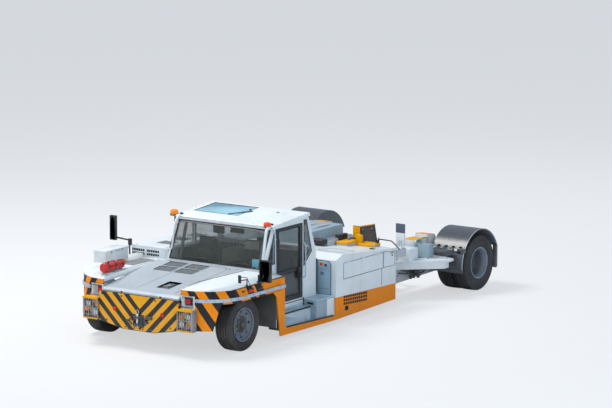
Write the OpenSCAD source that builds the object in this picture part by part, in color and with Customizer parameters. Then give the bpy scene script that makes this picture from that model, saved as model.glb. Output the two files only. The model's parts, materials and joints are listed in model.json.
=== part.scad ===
// Towbarless aircraft pushback tractor, a low wheeled machine with the cab at its front end.
// Millimetres. The front faces -Y, +X is the vehicle's left, Z is up.
// The origin is on the ground, at the bottom centre of the bounding box.

/* [Overall] */
// Distance from the front axle to the rear axle
wheelbase = 6840; // [6820:10:6860]
// Distance from the front plate to the front axle
front_overhang = 1040; // [1020:10:1060]
// Distance from the rear axle to the rear wheel brackets
rear_overhang = 600; // [590:5:610]
// Half width of the body at its side panels
side_x = 1610; // [1600:5:1620]
// Half width over the rear fenders
fender_x = 2075; // [2070:1:2080]

/* [Wheels] */
// Radius of a front tyre
front_tyre_r = 463; // [459:1:467]
// Width of a front tyre
front_tyre_w = 292; // [286:2:298]
// Radius of a rear tyre
rear_tyre_r = 518; // [514:1:522]
// Width of one rear tyre of the pair
rear_tyre_w = 298; // [290:2:300]
// Radius of the rim flange
rim_r = 298; // [294:1:300]
// Sideways place of the king pins
king_x = 1150; // [1145:1:1155]

/* [Front body] */
// Corner radius of the front body in plan
corner_r = 700; // [690:5:710]
// Height of the outer edge of the front fenders
pod_edge_z = 1120; // [1110:5:1130]
// Height of the inner edge of the front fenders
pod_top_z = 1225; // [1215:5:1235]
// Height of the rub rail's centre line
rail_z = 965; // [960:1:970]

/* [Cab] */
// Outer face of the cab on the vehicle's left
cab_left = 1280; // [1275:1:1285]
// Outer face of the cab on the vehicle's right
cab_right = -780; // [-784:1:-776]
// Height of the cab floor
floor_z = 550; // [545:1:555]
// Height of the roof's lower front edge
roof_z = 1900; // [1890:5:1910]
// Wall thickness of the cab
cab_wall = 40; // [36:1:44]

/* [Body] */
// Height of the line between the painted skirt and the body
skirt_z = 470; // [465:1:475]
// Ground clearance under the skirt
clear_z = 95; // [90:1:100]
// Distance from the body's rear face, ahead of the cradle bay, to the rear axle
bay_l = 2187; // [2180:1:2195]
// Half width of the bay between the rear beams
bay_x = 950; // [945:1:955]
// Height of the engine cover's top
cover_z = 1370; // [1360:5:1380]

/* [Hidden] */
overall_l = front_overhang + wheelbase + rear_overhang;
front_y = -overall_l / 2;
rear_y = overall_l / 2;
fa_y = front_y + front_overhang;
ra_y = fa_y + wheelbase;
corner_y = fa_y - 150;
pod_front = corner_y - corner_r;
wall_y = fa_y + 920;
front_wheel_x = 1544 - front_tyre_w / 2;
twin_gap = 37;
twin_x = 1738;
fender_r = rear_tyre_r + 125;
fender_in = 1360;
// Height of the arch over each front wheel
arch_z = 900;
post_y = wall_y + 208;
cover_y = wall_y + 80;
cab_front = wall_y;
cab_back = wall_y + 1640;
cover_end = cab_back + 340;
roof_front = cab_front + 320;
roof_back = cab_back - 240;
box_front = cab_back + 140;
door_y0 = cab_front + 390;
door_y1 = cab_back - 410;
bay_y = ra_y - bay_l;
cradle_y = bay_y + 267;
cradle_z = 430;
gate_y = bay_y + 1667;
gate_x = 655;
hold_y = bay_y + 77;
hold_z = 1085;
// Lift cylinder: upper pin on the frame, lower pin on the cradle, as Y and Z
lift_a = [bay_y + 87, 880];
lift_b = [bay_y + 1147, 430];
lift_d = lift_b - lift_a;
lift_l = norm(lift_d);
lift_angle = atan2(lift_d[1], lift_d[0]);
// Hinges of the hood and of the service door
hood_y = wall_y - 28;
hood_z = 1178;
hood_hinges = [-600, 0, 600];
service_x = side_x + 7;
service_z = 1072;
service_y0 = box_front + 250;
service_y1 = bay_y - 423;
service_hinges = [for (i = [0 : 2]) service_y0 + 150 + i * (service_y1 - service_y0 - 300) / 2];
// Hinges of the toolbox lid, the engine cover and the cab door
box_x = -1613;
box_z = 1400;
cover_x = cab_right - 15;
cover_hz = cover_z + 2;
cover_hinges = [cab_front + 380, cab_front + 1030, cab_front + 1480];
door_x = cab_left + 9;
door_y = door_y0 + 2;
door_hinges = [760, 1240, 1760];
// Window outlines in Y and Z, and the door's panes as lower and upper edges
left_windows = [
    [[cab_front + 130, 1290], [door_y0 - 30, 1290], [door_y0 - 30, 1850]],
    [[cab_back - 380, 1120], [cab_back - 137, 1346], [roof_back - 58, 1930], [cab_back - 380, 1930]]];
right_windows = [
    [[cab_front + 90, 1400], [cab_front + 780, 1400], [cab_front + 780, 1860], [roof_front - 20, 1860]],
    [[cab_back - 800, 1400], [cab_back - 80, 1400], [roof_back - 40, 1900], [cab_back - 800, 1860]]];
door_panes = [[640, 1060], [1110, 1835]];
t = 20;
e = 1;
$fn = 48;

// Box between two corners given as ranges
module box(x0, x1, y0, y1, z0, z1) {
    translate([x0, y0, z0]) cube([x1 - x0, y1 - y0, z1 - z0]);
}
// Outline in Y and Z, extruded from x0 to x1
module prism_x(points, x0, x1) {
    translate([x0, 0, 0]) rotate([90, 0, 90]) linear_extrude(x1 - x0) polygon(points);
}
// Outline in X and Z, extruded from y0 to y1
module prism_y(points, y0, y1) {
    translate([0, y1, 0]) rotate([90, 0, 0]) linear_extrude(y1 - y0) polygon(points);
}
// Outline in X and Y, extruded from z0 to z1
module slab(points, z0, z1) {
    translate([0, 0, z0]) linear_extrude(z1 - z0) polygon(points);
}
// Cylinder along X from x0 to x1
module rod_x(r, x0, x1, y = 0, z = 0) {
    translate([x0, y, z]) rotate([0, 90, 0]) cylinder(r = r, h = x1 - x0);
}
// Round bar between two points
module bar(p, q, r) {
    d = q - p;
    l = norm(d);
    translate(p) rotate([0, acos(d[2] / l), atan2(d[1], d[0])]) cylinder(r = r, h = l, $fn = 24);
}
// Round bar along a list of points, with balls at the bends
module tube(points, r) {
    for (i = [0 : len(points) - 2]) bar(points[i], points[i + 1], r);
    for (i = [1 : 1 : len(points) - 2]) translate(points[i]) sphere(r = r + 1, $fn = 24);
}
// The same piece on both sides
module both() {
    children();
    mirror([1, 0, 0]) children();
}

// Fixed half of a hinge along Z, its pin in the eye, and the eye with its leaf
module pin() {
    translate([0, 0, -50]) cylinder(r = 7, h = 20);
    translate([0, 0, -40]) cylinder(r = 4, h = 70);
}
module eye() {
    difference() {
        union() {
            translate([0, 0, -28]) cylinder(r = 7, h = 56);
            children();
        }
        translate([0, 0, -60]) cylinder(r = 4.05, h = 120);
    }
}

// Plan of the left half of the front body, drawn in by a given amount
module plan(inset) {
    intersection() {
        union() {
            translate([0, pod_front + inset]) square([side_x - corner_r, wall_y - pod_front]);
            translate([0, corner_y]) square([side_x - inset, post_y - corner_y]);
            translate([side_x - corner_r, corner_y]) circle(r = corner_r - inset, $fn = 72);
        }
        translate([0, pod_front - 50]) square([side_x + 50, post_y - pod_front + 50]);
    }
}

module main_frame() {
    color("#c9cfd4") {
        both() {
            // front longitudinal, wheel well wall and the wall behind the wheel
            box(560, 700, front_y + 142, wall_y - 5, 530, 760);
            prism_x([[pod_front + 131, 530], [fa_y + 65, 530], [fa_y + 65, 430], [wall_y - 5, 430],
                [wall_y - 5, 950], [pod_front + 420, 950], [pod_front + 400, 1079],
                [pod_front + 131, 1079]], 905, 930);
            box(0, side_x - 30, wall_y - t, wall_y - 0.3, 250, 954);
            // middle beam
            box(700, 900, wall_y - 10, bay_y - 200.3, 260, 529.7);
        }
        // front cross beams, belly plate and the cross beam under the cab
        box(-820, 820, front_y + 142, front_y + 200, 530, 760);
        box(-930, 930, fa_y - 60, fa_y + 60, 560, 700);
        box(-900, 900, wall_y - 10, bay_y - 200.3, 260, 280);
        box(-700, 700, cab_back - 860, cab_back - 760, 260, 530);
        // brackets with the hood's hinge pins
        for (x = hood_hinges) {
            box(x - 50, x + 50, hood_y + 14, hood_y + 24, 940, hood_z + 10);
            box(x - 50, x - 30, hood_y - 10, hood_y + 24, hood_z - 14, hood_z + 10);
            rod_x(7, x - 40, x + 30, hood_y, hood_z);
        }
    }
}

module rear_frame() {
    color("#c9cfd4") {
        both() {
            // beam beside the bay and the stub for the twin wheels
            prism_x([[bay_y - 200, 300], [ra_y + 380, 360], [ra_y + 380, 640], [ra_y + 200, 720],
                [ra_y - 1140, 760], [bay_y - 200, 760]], bay_x, 1300);
            rod_x(175, 1290, fender_in - 0.3, ra_y, rear_tyre_r);
            rod_x(60, 1340, 1790, ra_y, rear_tyre_r);
        }
        box(-1300, 1300, bay_y - 200, bay_y, 300, 760);
        // lugs for the cradle pins, the lift cylinders and the hold-down shaft
        both() difference() {
            union() {
                prism_x([[bay_y - e, 330], [cradle_y, cradle_z - 60], [cradle_y + 60, cradle_z],
                    [cradle_y, cradle_z + 60], [bay_y - e, 640]], 760, 790);
                for (x = [762, 878]) prism_x([[bay_y - e, 600], [bay_y - e, 750], [bay_y + e, 750],
                    [lift_a[0] - 50, lift_a[1] + 50], [lift_a[0] + 50, lift_a[1] + 50],
                    [lift_a[0] + 50, lift_a[1] - 40]], x, x + 20);
                prism_x([[bay_y - e, 640], [bay_y - e, 750], [bay_y + e, 750],
                    [hold_y - 45, hold_z + 45], [hold_y + 45, hold_z + 45],
                    [hold_y + 45, hold_z - 45], [bay_y + 80, 640]], 590, 620);
            }
            rod_x(25.05, 700, 800, cradle_y, cradle_z);
            rod_x(25.05, 500, 640, hold_y, hold_z);
        }
        both() rod_x(20, 770, 890, lift_a[0], lift_a[1]);
    }
}

module front_axle() {
    color("#2b2d30") {
        box(-king_x, king_x, fa_y - 60, fa_y + 60, 395, 505);
        both() {
            box(580, 680, fa_y - 70, fa_y + 70, 500, 530);
            translate([king_x, fa_y, 385]) cylinder(r = 62, h = 130);
            translate([king_x, fa_y, 330]) cylinder(r = 35, h = 240);
        }
    }
}

// Knuckle on the vehicle's left: two eyes round the king pin, a plate and the stub axle
module knuckle() {
    difference() {
        union() {
            for (z = [336, 522]) {
                translate([king_x, fa_y, z]) cylinder(r = 62, h = 42);
                box(king_x, king_x + 100, fa_y - 62, fa_y + 62, z, z + 42);
            }
            box(king_x + 72, king_x + 100, fa_y - 90, fa_y + 90, 336, 564);
            rod_x(45, king_x + 90, king_x + 330, fa_y, front_tyre_r);
            // steering arm reaching straight back
            slab([[king_x - 50, fa_y + 10], [king_x - 30, fa_y + 245], [king_x - 16, fa_y + 275],
                [king_x + 16, fa_y + 275], [king_x + 30, fa_y + 245], [king_x + 55, fa_y + 10]], 336, 366);
        }
        translate([king_x, fa_y, 300]) cylinder(r = 35.05, h = 300);
        translate([king_x, fa_y + 245, 300]) cylinder(r = 14.05, h = 100);
    }
}
module left_knuckle() {
    color("#3a3c3f") knuckle();
}
module right_knuckle() {
    color("#3a3c3f") mirror([1, 0, 0]) knuckle();
}
module tie_rod() {
    color("#3a3c3f") {
        y = fa_y + 245;
        both() {
            translate([king_x, y, 300]) cylinder(r = 14, h = 70);
            translate([king_x, y, 296]) cylinder(r = 28, h = 34);
        }
        rod_x(18, -king_x, king_x, y, 313);
    }
}

// Tyre section: radius against side, drawn on the right of the Y axis, axle along X after turning
module tyre(r, w, x) {
    h = w / 2;
    b = rim_r - 12;
    translate([x, 0, 0]) rotate([0, 90, 0]) rotate_extrude($fn = 56) polygon([
        [b, -h * 0.82], [rim_r + 40, -h], [r - 50, -h], [r - 4, -h * 0.84],
        [r, -h * 0.5], [r, h * 0.5], [r - 4, h * 0.84],
        [r - 50, h], [rim_r + 40, h], [b, h * 0.82]]);
}
// Rim barrel with its disc at a given offset from the middle, dished by the given depth
module rim(w, x, disc) {
    h = w / 2 * 0.82 + 0.4;
    b = rim_r - 12.3;
    translate([x, 0, 0]) rotate([0, 90, 0]) rotate_extrude($fn = 56) polygon([
        [b, -h], [b, h], [b + 10, h + 8], [b + 10, h + 18], [b - 12, h + 14], [b - 14, h - 20],
        [b - 34, disc + 30], [190, disc + 12], [80, disc + 12], [80, disc - 12],
        [190, disc - 12], [b - 34, disc - 20], [b - 14, -h + 20], [b - 12, -h - 14],
        [b + 10, -h - 18], [b + 10, -h - 8]]);
}
module front_rim() {
    translate([0, fa_y, front_tyre_r]) difference() {
        union() {
            rim(front_tyre_w, front_wheel_x, 60);
            rod_x(95, front_wheel_x - 100, front_wheel_x + 90);
            rod_x(62, front_wheel_x + 80, front_wheel_x + 128);
        }
        rod_x(45.05, front_wheel_x - 200, king_x + 332);
        for (i = [0 : 7]) rotate([i * 45, 0, 0])
            rod_x(24, front_wheel_x, front_wheel_x + 120, 0, 222);
    }
}
module front_left_rim() {
    color("#9aa7b4") front_rim();
}
module front_left_tyre() {
    color("#17181a") translate([0, fa_y, front_tyre_r]) tyre(front_tyre_r, front_tyre_w, front_wheel_x);
}
module front_right_rim() {
    color("#9aa7b4") mirror([1, 0, 0]) front_rim();
}
module front_right_tyre() {
    color("#17181a") mirror([1, 0, 0])
        translate([0, fa_y, front_tyre_r]) tyre(front_tyre_r, front_tyre_w, front_wheel_x);
}
module twin_rims() {
    off = (rear_tyre_w + twin_gap) / 2;
    translate([0, ra_y, rear_tyre_r]) difference() {
        union() {
            rim(rear_tyre_w, twin_x + off, 12 - off);
            rim(rear_tyre_w, twin_x - off, off - 12);
            rod_x(125, 1362, twin_x + 40);
            rod_x(95, twin_x + 30, twin_x + 130);
        }
        rod_x(60.05, 1300, 1792);
        for (i = [0 : 7]) rotate([i * 45 + 22.5, 0, 0]) rod_x(26, twin_x - 60, twin_x + 60, 0, 222);
    }
}
module twin_tyres() {
    off = (rear_tyre_w + twin_gap) / 2;
    translate([0, ra_y, rear_tyre_r]) {
        tyre(rear_tyre_r, rear_tyre_w, twin_x + off);
        tyre(rear_tyre_r, rear_tyre_w, twin_x - off);
    }
}
module rear_left_rims() {
    color("#9ab4cc") twin_rims();
}
module rear_left_tyres() {
    color("#17181a") twin_tyres();
}
module rear_right_rims() {
    color("#9ab4cc") mirror([1, 0, 0]) twin_rims();
}
module rear_right_tyres() {
    color("#17181a") mirror([1, 0, 0]) twin_tyres();
}

// Striped plate across the front, deepest at its middle, with the plates behind the headlamps
module front_plate() {
    color("#e9a21a") difference() {
        union() {
            prism_y([[-840, 940], [840, 940], [840, 440], [330, 340], [-330, 340], [-840, 440]],
                front_y + 90, front_y + 110);
            both() {
                prism_y([[822, 799], [1150, 799], [1150, 460], [822, 440]],
                    front_y + 110, front_y + 130);
                box(800, 824, front_y + 100, front_y + 141.7, 440, 799);
            }
        }
        box(-120, 120, front_y, front_y + 200, 400, 620);
    }
}

// Towing jaw: two plates with a bore for the tow bar's pin
module tow_hitch() {
    color("#26282a") difference() {
        union() {
            for (z = [430, 560]) {
                box(-70, 70, front_y + 60, front_y + 120, z, z + 35);
                translate([0, front_y + 60, z]) cylinder(r = 60, h = 35);
            }
            box(-110, 110, front_y + 90, front_y + 141.7, 405, 615);
        }
        translate([0, front_y + 60, 400]) cylinder(r = 22, h = 250);
    }
}

function hood_line(y) = 1010 + (y - pod_front) * 190 / (cab_front - pod_front);
module hood() {
    x0 = 812;
    x1 = 950;
    y0 = pod_front - 60;
    y1 = cab_front - 40;
    color("#d8dde2") difference() {
        intersection() {
            slab([[-x0, y0], [x0, y0], [x1, y1], [-x1, y1]], 900, 1300);
            prism_x([[y0, 945], [y0, 975], [y0 + 60, 1010], [y1, hood_line(y1)],
                [y1, hood_line(y1) - t], [y0 + 60, 990 - t], [y0 + t, 945]], -x1, x1);
        }
        for (x = hood_hinges) box(x - 55, x + 55, y1 - 30, y1 + e, 1100, 1300);
        // four cooling patches and the latch recess
        for (x = [-620, -160]) for (y = [wall_y - 600, wall_y - 310])
            for (i = [0 : 4]) box(x, x + 370, y + i * 50, y + i * 50 + 24, 900, 1300);
        box(90, 370, pod_front + 290, pod_front + 680, 900, 1300);
    }
    color("#d8dde2") for (x = hood_hinges) difference() {
        union() {
            rod_x(13, x - 28, x + 28, hood_y, hood_z);
            box(x - 28, x + 28, y1 - 31, hood_y, hood_z - 4, hood_z + 8);
        }
        rod_x(7.05, x - 60, x + 60, hood_y, hood_z);
    }
}

// Front fender with a striped band, side panel and wheel arch; top lists X and Z outwards,
// and beside is its inner edge next to the cab, from the given Y on
module pod(top, back, beside, from) {
    in0 = 825;
    in1 = 963;
    peak = max([for (p = top) p[1]]);
    difference() {
        intersection() {
            translate([0, 0, 440]) linear_extrude(940) plan(0);
            prism_y(concat([[side_x, 440], [in0, 440]], top, [[side_x, pod_edge_z]]),
                pod_front - e, post_y + e);
            prism_x([[pod_front, 440], [pod_front, pod_edge_z + 10], [pod_front + 150, pod_edge_z + 45],
                [pod_front + 450, peak - 25], [pod_front + 800, peak], [post_y, peak],
                [post_y, 440]], 0, side_x + e);
            slab([[in0, pod_front - e], [side_x + e, pod_front - e], [side_x + e, post_y + e],
                [beside, post_y + e], [beside, from], [in1, from]], 300, 1400);
        }
        // hollow inside, open to the wheel and towards the middle
        difference() {
            translate([0, 0, 300]) linear_extrude(780) plan(25);
            box(0, 2000, wall_y - 10, post_y + e, 960, 1100);
            box(in0 + 10, 1100, pod_front, pod_front + 130, 819, 1031);
        }
        box(0, 2000, back, 0, 300, 1400);
        box(side_x - 25.3, side_x + e, post_y - 120.3, post_y + e, 300, pod_edge_z - 19.7);
        // wheel arch, open down to the skirt, and room for the wall behind the wheel
        prism_x([[pod_front + 176, 300], [pod_front + 176, 441], [pod_front + 204, 587],
            [pod_front + 250, 790], [pod_front + 289, arch_z], [post_y + e, arch_z], [post_y + e, 300]],
            0, side_x + e);
        box(0, side_x - 25.3, wall_y - e, post_y + e, 300, 955);
        // recess for the lamp at the front corner
        box(in0 + 30, 1080, pod_front - e, pod_front + 110, 840, 1010);
        box(0, in0 + 22, pod_front - 10, post_y, 300, 940);
    }
}
module left_pod() {
    color("#f1f3f4") 
        pod([[825, pod_top_z - 25], [1200, pod_top_z - 25], [side_x - 200, pod_edge_z + 32]], post_y,
            cab_left + 5, cab_front - 40);
}
module right_pod() {
    color("#f1f3f4") mirror([1, 0, 0])
        pod([[825, pod_top_z - 45], [side_x - 280, pod_top_z - 45], [side_x - 250, pod_top_z + 15],
            [side_x - 110, pod_top_z + 15], [side_x - 30, pod_edge_z + 85]], cover_y - 0.3,
            5 - cab_right, cab_front);
}

// Pale rail that runs round the front corner and along the side
module rub_rails() {
    r = corner_r + 0.3;
    color("#a9b9c8") both() {
        intersection() {
            translate([side_x - corner_r, corner_y, rail_z - 30]) difference() {
                cylinder(r = r + 22, h = 60, $fn = 144);
                translate([0, 0, -e]) cylinder(r = r, h = 62, $fn = 144);
            }
            box(1120, side_x + 50, pod_front - 50, corner_y + e, 0, 2000);
        }
        box(side_x + 0.3, side_x + 22.3, corner_y, post_y, rail_z - 30, rail_z + 30);
    }
}

// Cages of round bar in front of the headlamps, on a shelf
module lamp_guards() {
    y0 = front_y + 40;
    y1 = front_y + 109.7;
    color("#c3cad0") both() {
        box(842, 1170, y0, y1 + 80, 799.3, 818);
        box(842, 1160, y0, y1, 445, 463);
        for (x = [856, 950, 1045, 1140]) bar([x, y0 + 12, 450], [x, y0 + 12, 805], 9);
        bar([856, y0 + 12, 630], [1140, y0 + 12, 630], 9);
    }
}

module lamps() {
    color("#c32026") both() {
        // red lamp in the corner recess, headlamp and indicator behind the cage
        box(885, 985, pod_front + 62, pod_front + 110, 880, 970);
        rod_y(60, 930, front_y + 66, front_y + 109.7, 560);
        rod_y(55, 1065, front_y + 66, front_y + 109.7, 700);
        // marker lamp on the side, above the rail
        box(side_x + 0.3, side_x + 12, fa_y + 20, fa_y + 180, rail_z + 36, rail_z + 120);
    }
    // flashing beacons at the roof's front corners, the right one on a bracket
    color("#f08a12") {
        translate([cab_left - 110, roof_front + 40, roof_z + 70.3]) cylinder(r = 46, h = 68);
        box(cab_right - 110, cab_right - 12.3, roof_front, roof_front + 60, roof_z + 30, roof_z + 46);
        translate([cab_right - 66, roof_front + 30, roof_z + 45]) cylinder(r = 46, h = 84);
    }
}
// Cylinder along Y at a given x and z
module rod_y(r, x, y0, y1, z) {
    translate([x, y1, z]) rotate([90, 0, 0]) cylinder(r = r, h = y1 - y0);
}

module toolbox() {
    color("#f1f3f4") difference() {
        box(-1600, -1345, fa_y - 115, fa_y + 540, pod_top_z + 15.3, box_z);
        box(-1588, -1357, fa_y - 103, fa_y + 528, pod_top_z + 28, box_z + e);
    }
    color("#f1f3f4") for (y = [fa_y + 60, fa_y + 420]) translate([box_x, y, box_z]) rotate([-90, 0, 0]) {
        pin();
        translate([0, 0, -50]) cube([14, 6, 20]);
    }
}
module toolbox_lid() {
    color("#f1f3f4") difference() {
        box(-1606, -1339, fa_y - 121, fa_y + 546, box_z + 0.3, box_z + 42);
        box(-1594, -1351, fa_y - 109, fa_y + 534, box_z, box_z + 32);
    }
    color("#f1f3f4") for (y = [fa_y + 60, fa_y + 420]) translate([box_x, y, box_z]) rotate([-90, 0, 0])
        eye() translate([0, -7, -28]) cube([8, 6.5, 56]);
}
module extinguishers() {
    // beside the hood's edge and turned with it, on two saddles on the fender
    color("#c32026") translate([-938, fa_y - 720, pod_top_z - 44.7]) rotate([0, 0, 4.5]) {
        rod_y(90, 0, 0, 430, 100);
        rod_y(74, 0, 429, 640, 90);
        rod_y(24, 0, 639, 720, 90);
        box(-60, 60, 270, 300, 0, 40);
        box(-50, 50, 520, 550, 0, 40);
    }
}

// Body on the vehicle's right, round the engine and the rear part of its cover
module right_body() {
    x0 = -side_x;
    x1 = cab_right - 30;
    color("#f1f3f4") difference() {
        union() {
            box(x0, x1, cover_y, bay_y, 200, 1108);
            box(x0, x1, cover_end + 10, bay_y, 1100, cover_z);
        }
        box(x0 + t, x1 - t, cover_y + t, cover_end - 10, 220, 1200);
        box(x0 + t, x1 - t, cover_end - 10 - e, bay_y - t, 220, cover_z - t);
        // room for the middle beam, the rear cross beam and the skirt
        box(-905, x1 + e, cover_y - e, bay_y + e, 100, 530);
        box(-1305, x1 + e, bay_y - 202, bay_y + e, 100, 762);
        box(x0 - e, x0 + 25.3, cover_y - e, bay_y + e, 100, skirt_z + 20.3);
        box(x0 - e, x0 + 25.3, cover_y - e, post_y + 0.3, 100, pod_edge_z - 19.7);
    }
}
module engine_cover() {
    x0 = -side_x;
    x1 = cab_right - 30;
    color("#f1f3f4") difference() {
        box(x0, x1, cover_y, cover_end, 1114, cover_z);
        box(x0 + t, x1 - t, cover_y + t, cover_end - t, 1100, cover_z - t);
        for (x = [-1450, -1130]) for (z = [1170, 1230]) box(x, x + 230, cover_y - 10, cover_y + 30, z, z + 32);
    }
    color("#f1f3f4") for (y = cover_hinges) translate([cover_x, y, cover_hz]) rotate([-90, 0, 0])
        eye() translate([-16, 0, -28]) cube([16, 6.5, 56]);
}
module engine() {
    color("#4a4d50") box(-1430, -900.3, cover_y + 300, cab_back + 740, 340, 1060);
}

// Side profile of the cab, drawn in by a given amount
function cab_profile(d) = [
    [cab_front + d, floor_z - 20 + d], [cab_front + d, 1200],
    [roof_front + d, roof_z - d], [roof_back - d, roof_z + 90 - d],
    [cab_back - d, 1330], [cab_back - d, floor_z - 20 + d]];
module cab_shell() {
    w = cab_wall;
    color("#e6e9eb") difference() {
        prism_x(cab_profile(0), cab_right, cab_left);
        prism_x(cab_profile(w), cab_right + w, cab_left - w);
        // windscreen, rear window, roof opening, door opening and the side windows
        prism_x([[cab_front - 20, 1235], [roof_front - 15, roof_z - 22], [roof_front + 100, roof_z - 22],
            [cab_front + 100, 1235]], cab_right + 50, cab_left - 50);
        prism_x([[roof_back + 25, 1900], [cab_back + 20, 1360], [cab_back - 100, 1360],
            [roof_back - 100, 1900]], cab_right + 50, cab_left - 50);
        box(cab_right + 60, cab_left - 60, roof_front + 90, roof_back - 70, roof_z - 40, roof_z + 200);
        box(cab_left - w - e, cab_left + e, door_y0, door_y1, floor_z + 10, 1895);
        for (o = left_windows) prism_x(o, cab_left - w - e, cab_left + e);
        for (o = right_windows) prism_x(o, cab_right - e, cab_right + w + e);
    }
    // fixed halves of the hinges of the engine cover and of the door
    color("#e6e9eb") {
        for (y = cover_hinges) translate([cover_x, y, cover_hz]) rotate([-90, 0, 0]) {
            pin();
            translate([0, 0, -50]) cube([16, 6, 20]);
        }
        for (z = door_hinges) translate([door_x, door_y, z]) {
            pin();
            translate([-10, -20, -50]) cube([12, 20, 20]);
        }
    }
}
function roof_top(y) = roof_z + 62 + (y - roof_front + 10) * 88 / (roof_back - roof_front + 10);
module cab_roof() {
    color("#f4f5f6") difference() {
        prism_x([[roof_front - 30, roof_z - 2], [roof_back + 20, roof_z + 92.2],
            [roof_back, roof_z + 150], [roof_front - 10, roof_z + 62], [roof_front - 30, roof_z + 50]],
            cab_right - 12, cab_left + 30);
        // opening for the roof window
        box(-680, 270, roof_front + 360, roof_back - 80, 1800, 2200);
    }
}
module cab_glass() {
    color([0.6, 0.75, 0.8, 0.4]) {
        // windscreen, rear window and roof window
        prism_x([[cab_front + 22, 1235], [roof_front - 4, roof_z - 22], [roof_front + 2, roof_z - 22],
            [cab_front + 28, 1235]], cab_right + 50, cab_left - 50);
        prism_x([[roof_back - 12, 1900], [cab_back - 14, 1360], [cab_back - 20, 1360],
            [roof_back - 18, 1900]], cab_right + 50, cab_left - 50);
        prism_x([[roof_front + 360, roof_top(roof_front + 360) - 17], [roof_back - 80, roof_top(roof_back - 80) - 17],
            [roof_back - 80, roof_top(roof_back - 80) - 11], [roof_front + 360, roof_top(roof_front + 360) - 11]],
            -680, 270);
        for (o = left_windows) prism_x(o, cab_left - 24, cab_left - 18);
        for (o = right_windows) prism_x(o, cab_right + 18, cab_right + 24);
    }
}

module cab_door() {
    g = 8;
    x0 = cab_left - cab_wall + 5;
    color("#d9dde0") difference() {
        box(x0, cab_left, door_y0 + g, door_y1 - g, floor_z + 18, 1887);
        for (z = door_panes) box(x0 - e, cab_left + e, door_y0 + 95, door_y1 - 95, z[0], z[1]);
    }
    color("#d9dde0") for (z = door_hinges) translate([door_x, door_y, z])
        eye() translate([-10, 0, -28]) cube([10, 26, 56]);
    color("#26282a") box(cab_left - 1, cab_left + 35, door_y1 - 175, door_y1 - 145, 980, 1100);
}
module door_glass() {
    color([0.6, 0.75, 0.8, 0.4])
        for (z = door_panes) box(cab_left - 22, cab_left - 16, door_y0 + 95, door_y1 - 95, z[0], z[1]);
}

module seat() {
    x = 520;
    y = cab_back - 710;
    color("#2a2c2f") {
        box(x - 60, x + 60, y - 120, y + 120, floor_z + 20.3, 850);
        box(x - 250, x + 250, y - 260, y + 260, 850, 950);
        prism_x([[y + 170, 930], [y + 260, 940], [y + 380, 1560], [y + 300, 1570]], x - 230, x + 230);
    }
}
module dashboard() {
    color("#6d6a63") {
        // shelf under the windscreen, instrument box on the left, console beside the seat
        y = cab_front;
        prism_x([[y + 45, 1080], [y + 290, 1060], [y + 290, 1130], [y + 45, 1180]], -700, 1200);
        box(-700, 1200, y + 45, y + 90, floor_z + 20.3, 1100);
        box(700, 1180, y + 289, y + 380, 900, 1200);
        box(-160, 180, cab_back - 840, cab_back - 360, floor_z + 20.3, 1330);
    }
}
module steering_wheel() {
    color("#1d1e20") translate([520, cab_front + 520, 1165]) rotate([-30, 0, 0]) {
        rotate_extrude($fn = 48) translate([200, 0]) circle(r = 14, $fn = 16);
        for (a = [0, 120, 240]) rotate([0, 0, a]) translate([0, -14, -8]) cube([200, 28, 14]);
        translate([0, 0, -8]) cylinder(r = 40, h = 20);
        translate([0, 0, -671.6]) cylinder(r = 26, h = 668);
    }
}

module mirrors() {
    color("#1b1c1e") {
        // tall mirror outside the left fender
        y = wall_y - 480;
        box(1575, 1800, y - 40, y + 20, 1150, 1525);
        tube([[1540, y - 10, 1133.2], [1540, y - 10, 1250], [1590, y - 10, 1250]], 14);
        // small mirror on the left fender
        box(1495, 1550, fa_y - 110, fa_y - 92, 1200, 1335);
        tube([[1522, fa_y - 93, 1240], [1560, fa_y + 60, 1240], [1560, fa_y + 60, 1129.8]], 10);
        // tall mirror far out on the right, on the corner of the engine cover's body
        box(-side_x - 450, -side_x - 320, cover_y - 60, cover_y - 8, 1420, 1860);
        tube([[-side_x - 30, cover_y - 28, 1060], [-side_x - 30, cover_y - 28, 1450],
            [-side_x - 325, cover_y - 28, 1470]], 15);
        box(-side_x - 45, -side_x - 0.3, cover_y - 43, cover_y - 13, 1055, 1085);
    }
}

module entry_steps() {
    x1 = side_x - 25.3;
    y1 = box_front - 0.3;
    color("#a8c0d2") {
        box(cab_left + 5, x1, post_y - 30, y1, 160, 180);
        box(cab_left + 5, cab_left + 25, post_y - 30, y1, 160, 470);
        box(cab_left + 5, cab_left + 170, post_y - 30, door_y1 - 10, 400, 420);
        box(cab_left + 150, cab_left + 170, post_y - 30, door_y1 - 10, 180, 410);
        box(cab_left + 5, x1, post_y - 30, post_y - 10, 160, 900);
        difference() {
            box(cab_left + 5, x1, door_y1 - 10, y1, 160, 530);
            box(cab_left + 25, x1 - t, door_y1 + 10, y1 - t, 180, 510);
        }
    }
}

// Painted plates along the sides, the left one cut out for the entry
module skirts() {
    x0 = side_x - 25;
    top = pod_edge_z - 20;
    front = [[post_y - 120, arch_z], [post_y - 348, arch_z], [post_y - 243, 806], [post_y - 183, 391],
        [post_y - 137, clear_z], [box_front, clear_z - 5], [bay_y, 145], [bay_y, skirt_z - 30],
        [box_front, skirt_z + 20]];
    color("#d0741c") {
        prism_x(concat(front, [[box_front, 165], [post_y, 215], [post_y, top], [post_y - 120, top]]),
            x0, side_x);
        prism_x(concat(front, [[post_y, skirt_z + 20], [post_y, top], [post_y - 120, top]]),
            -side_x, -x0);
    }
}

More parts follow.
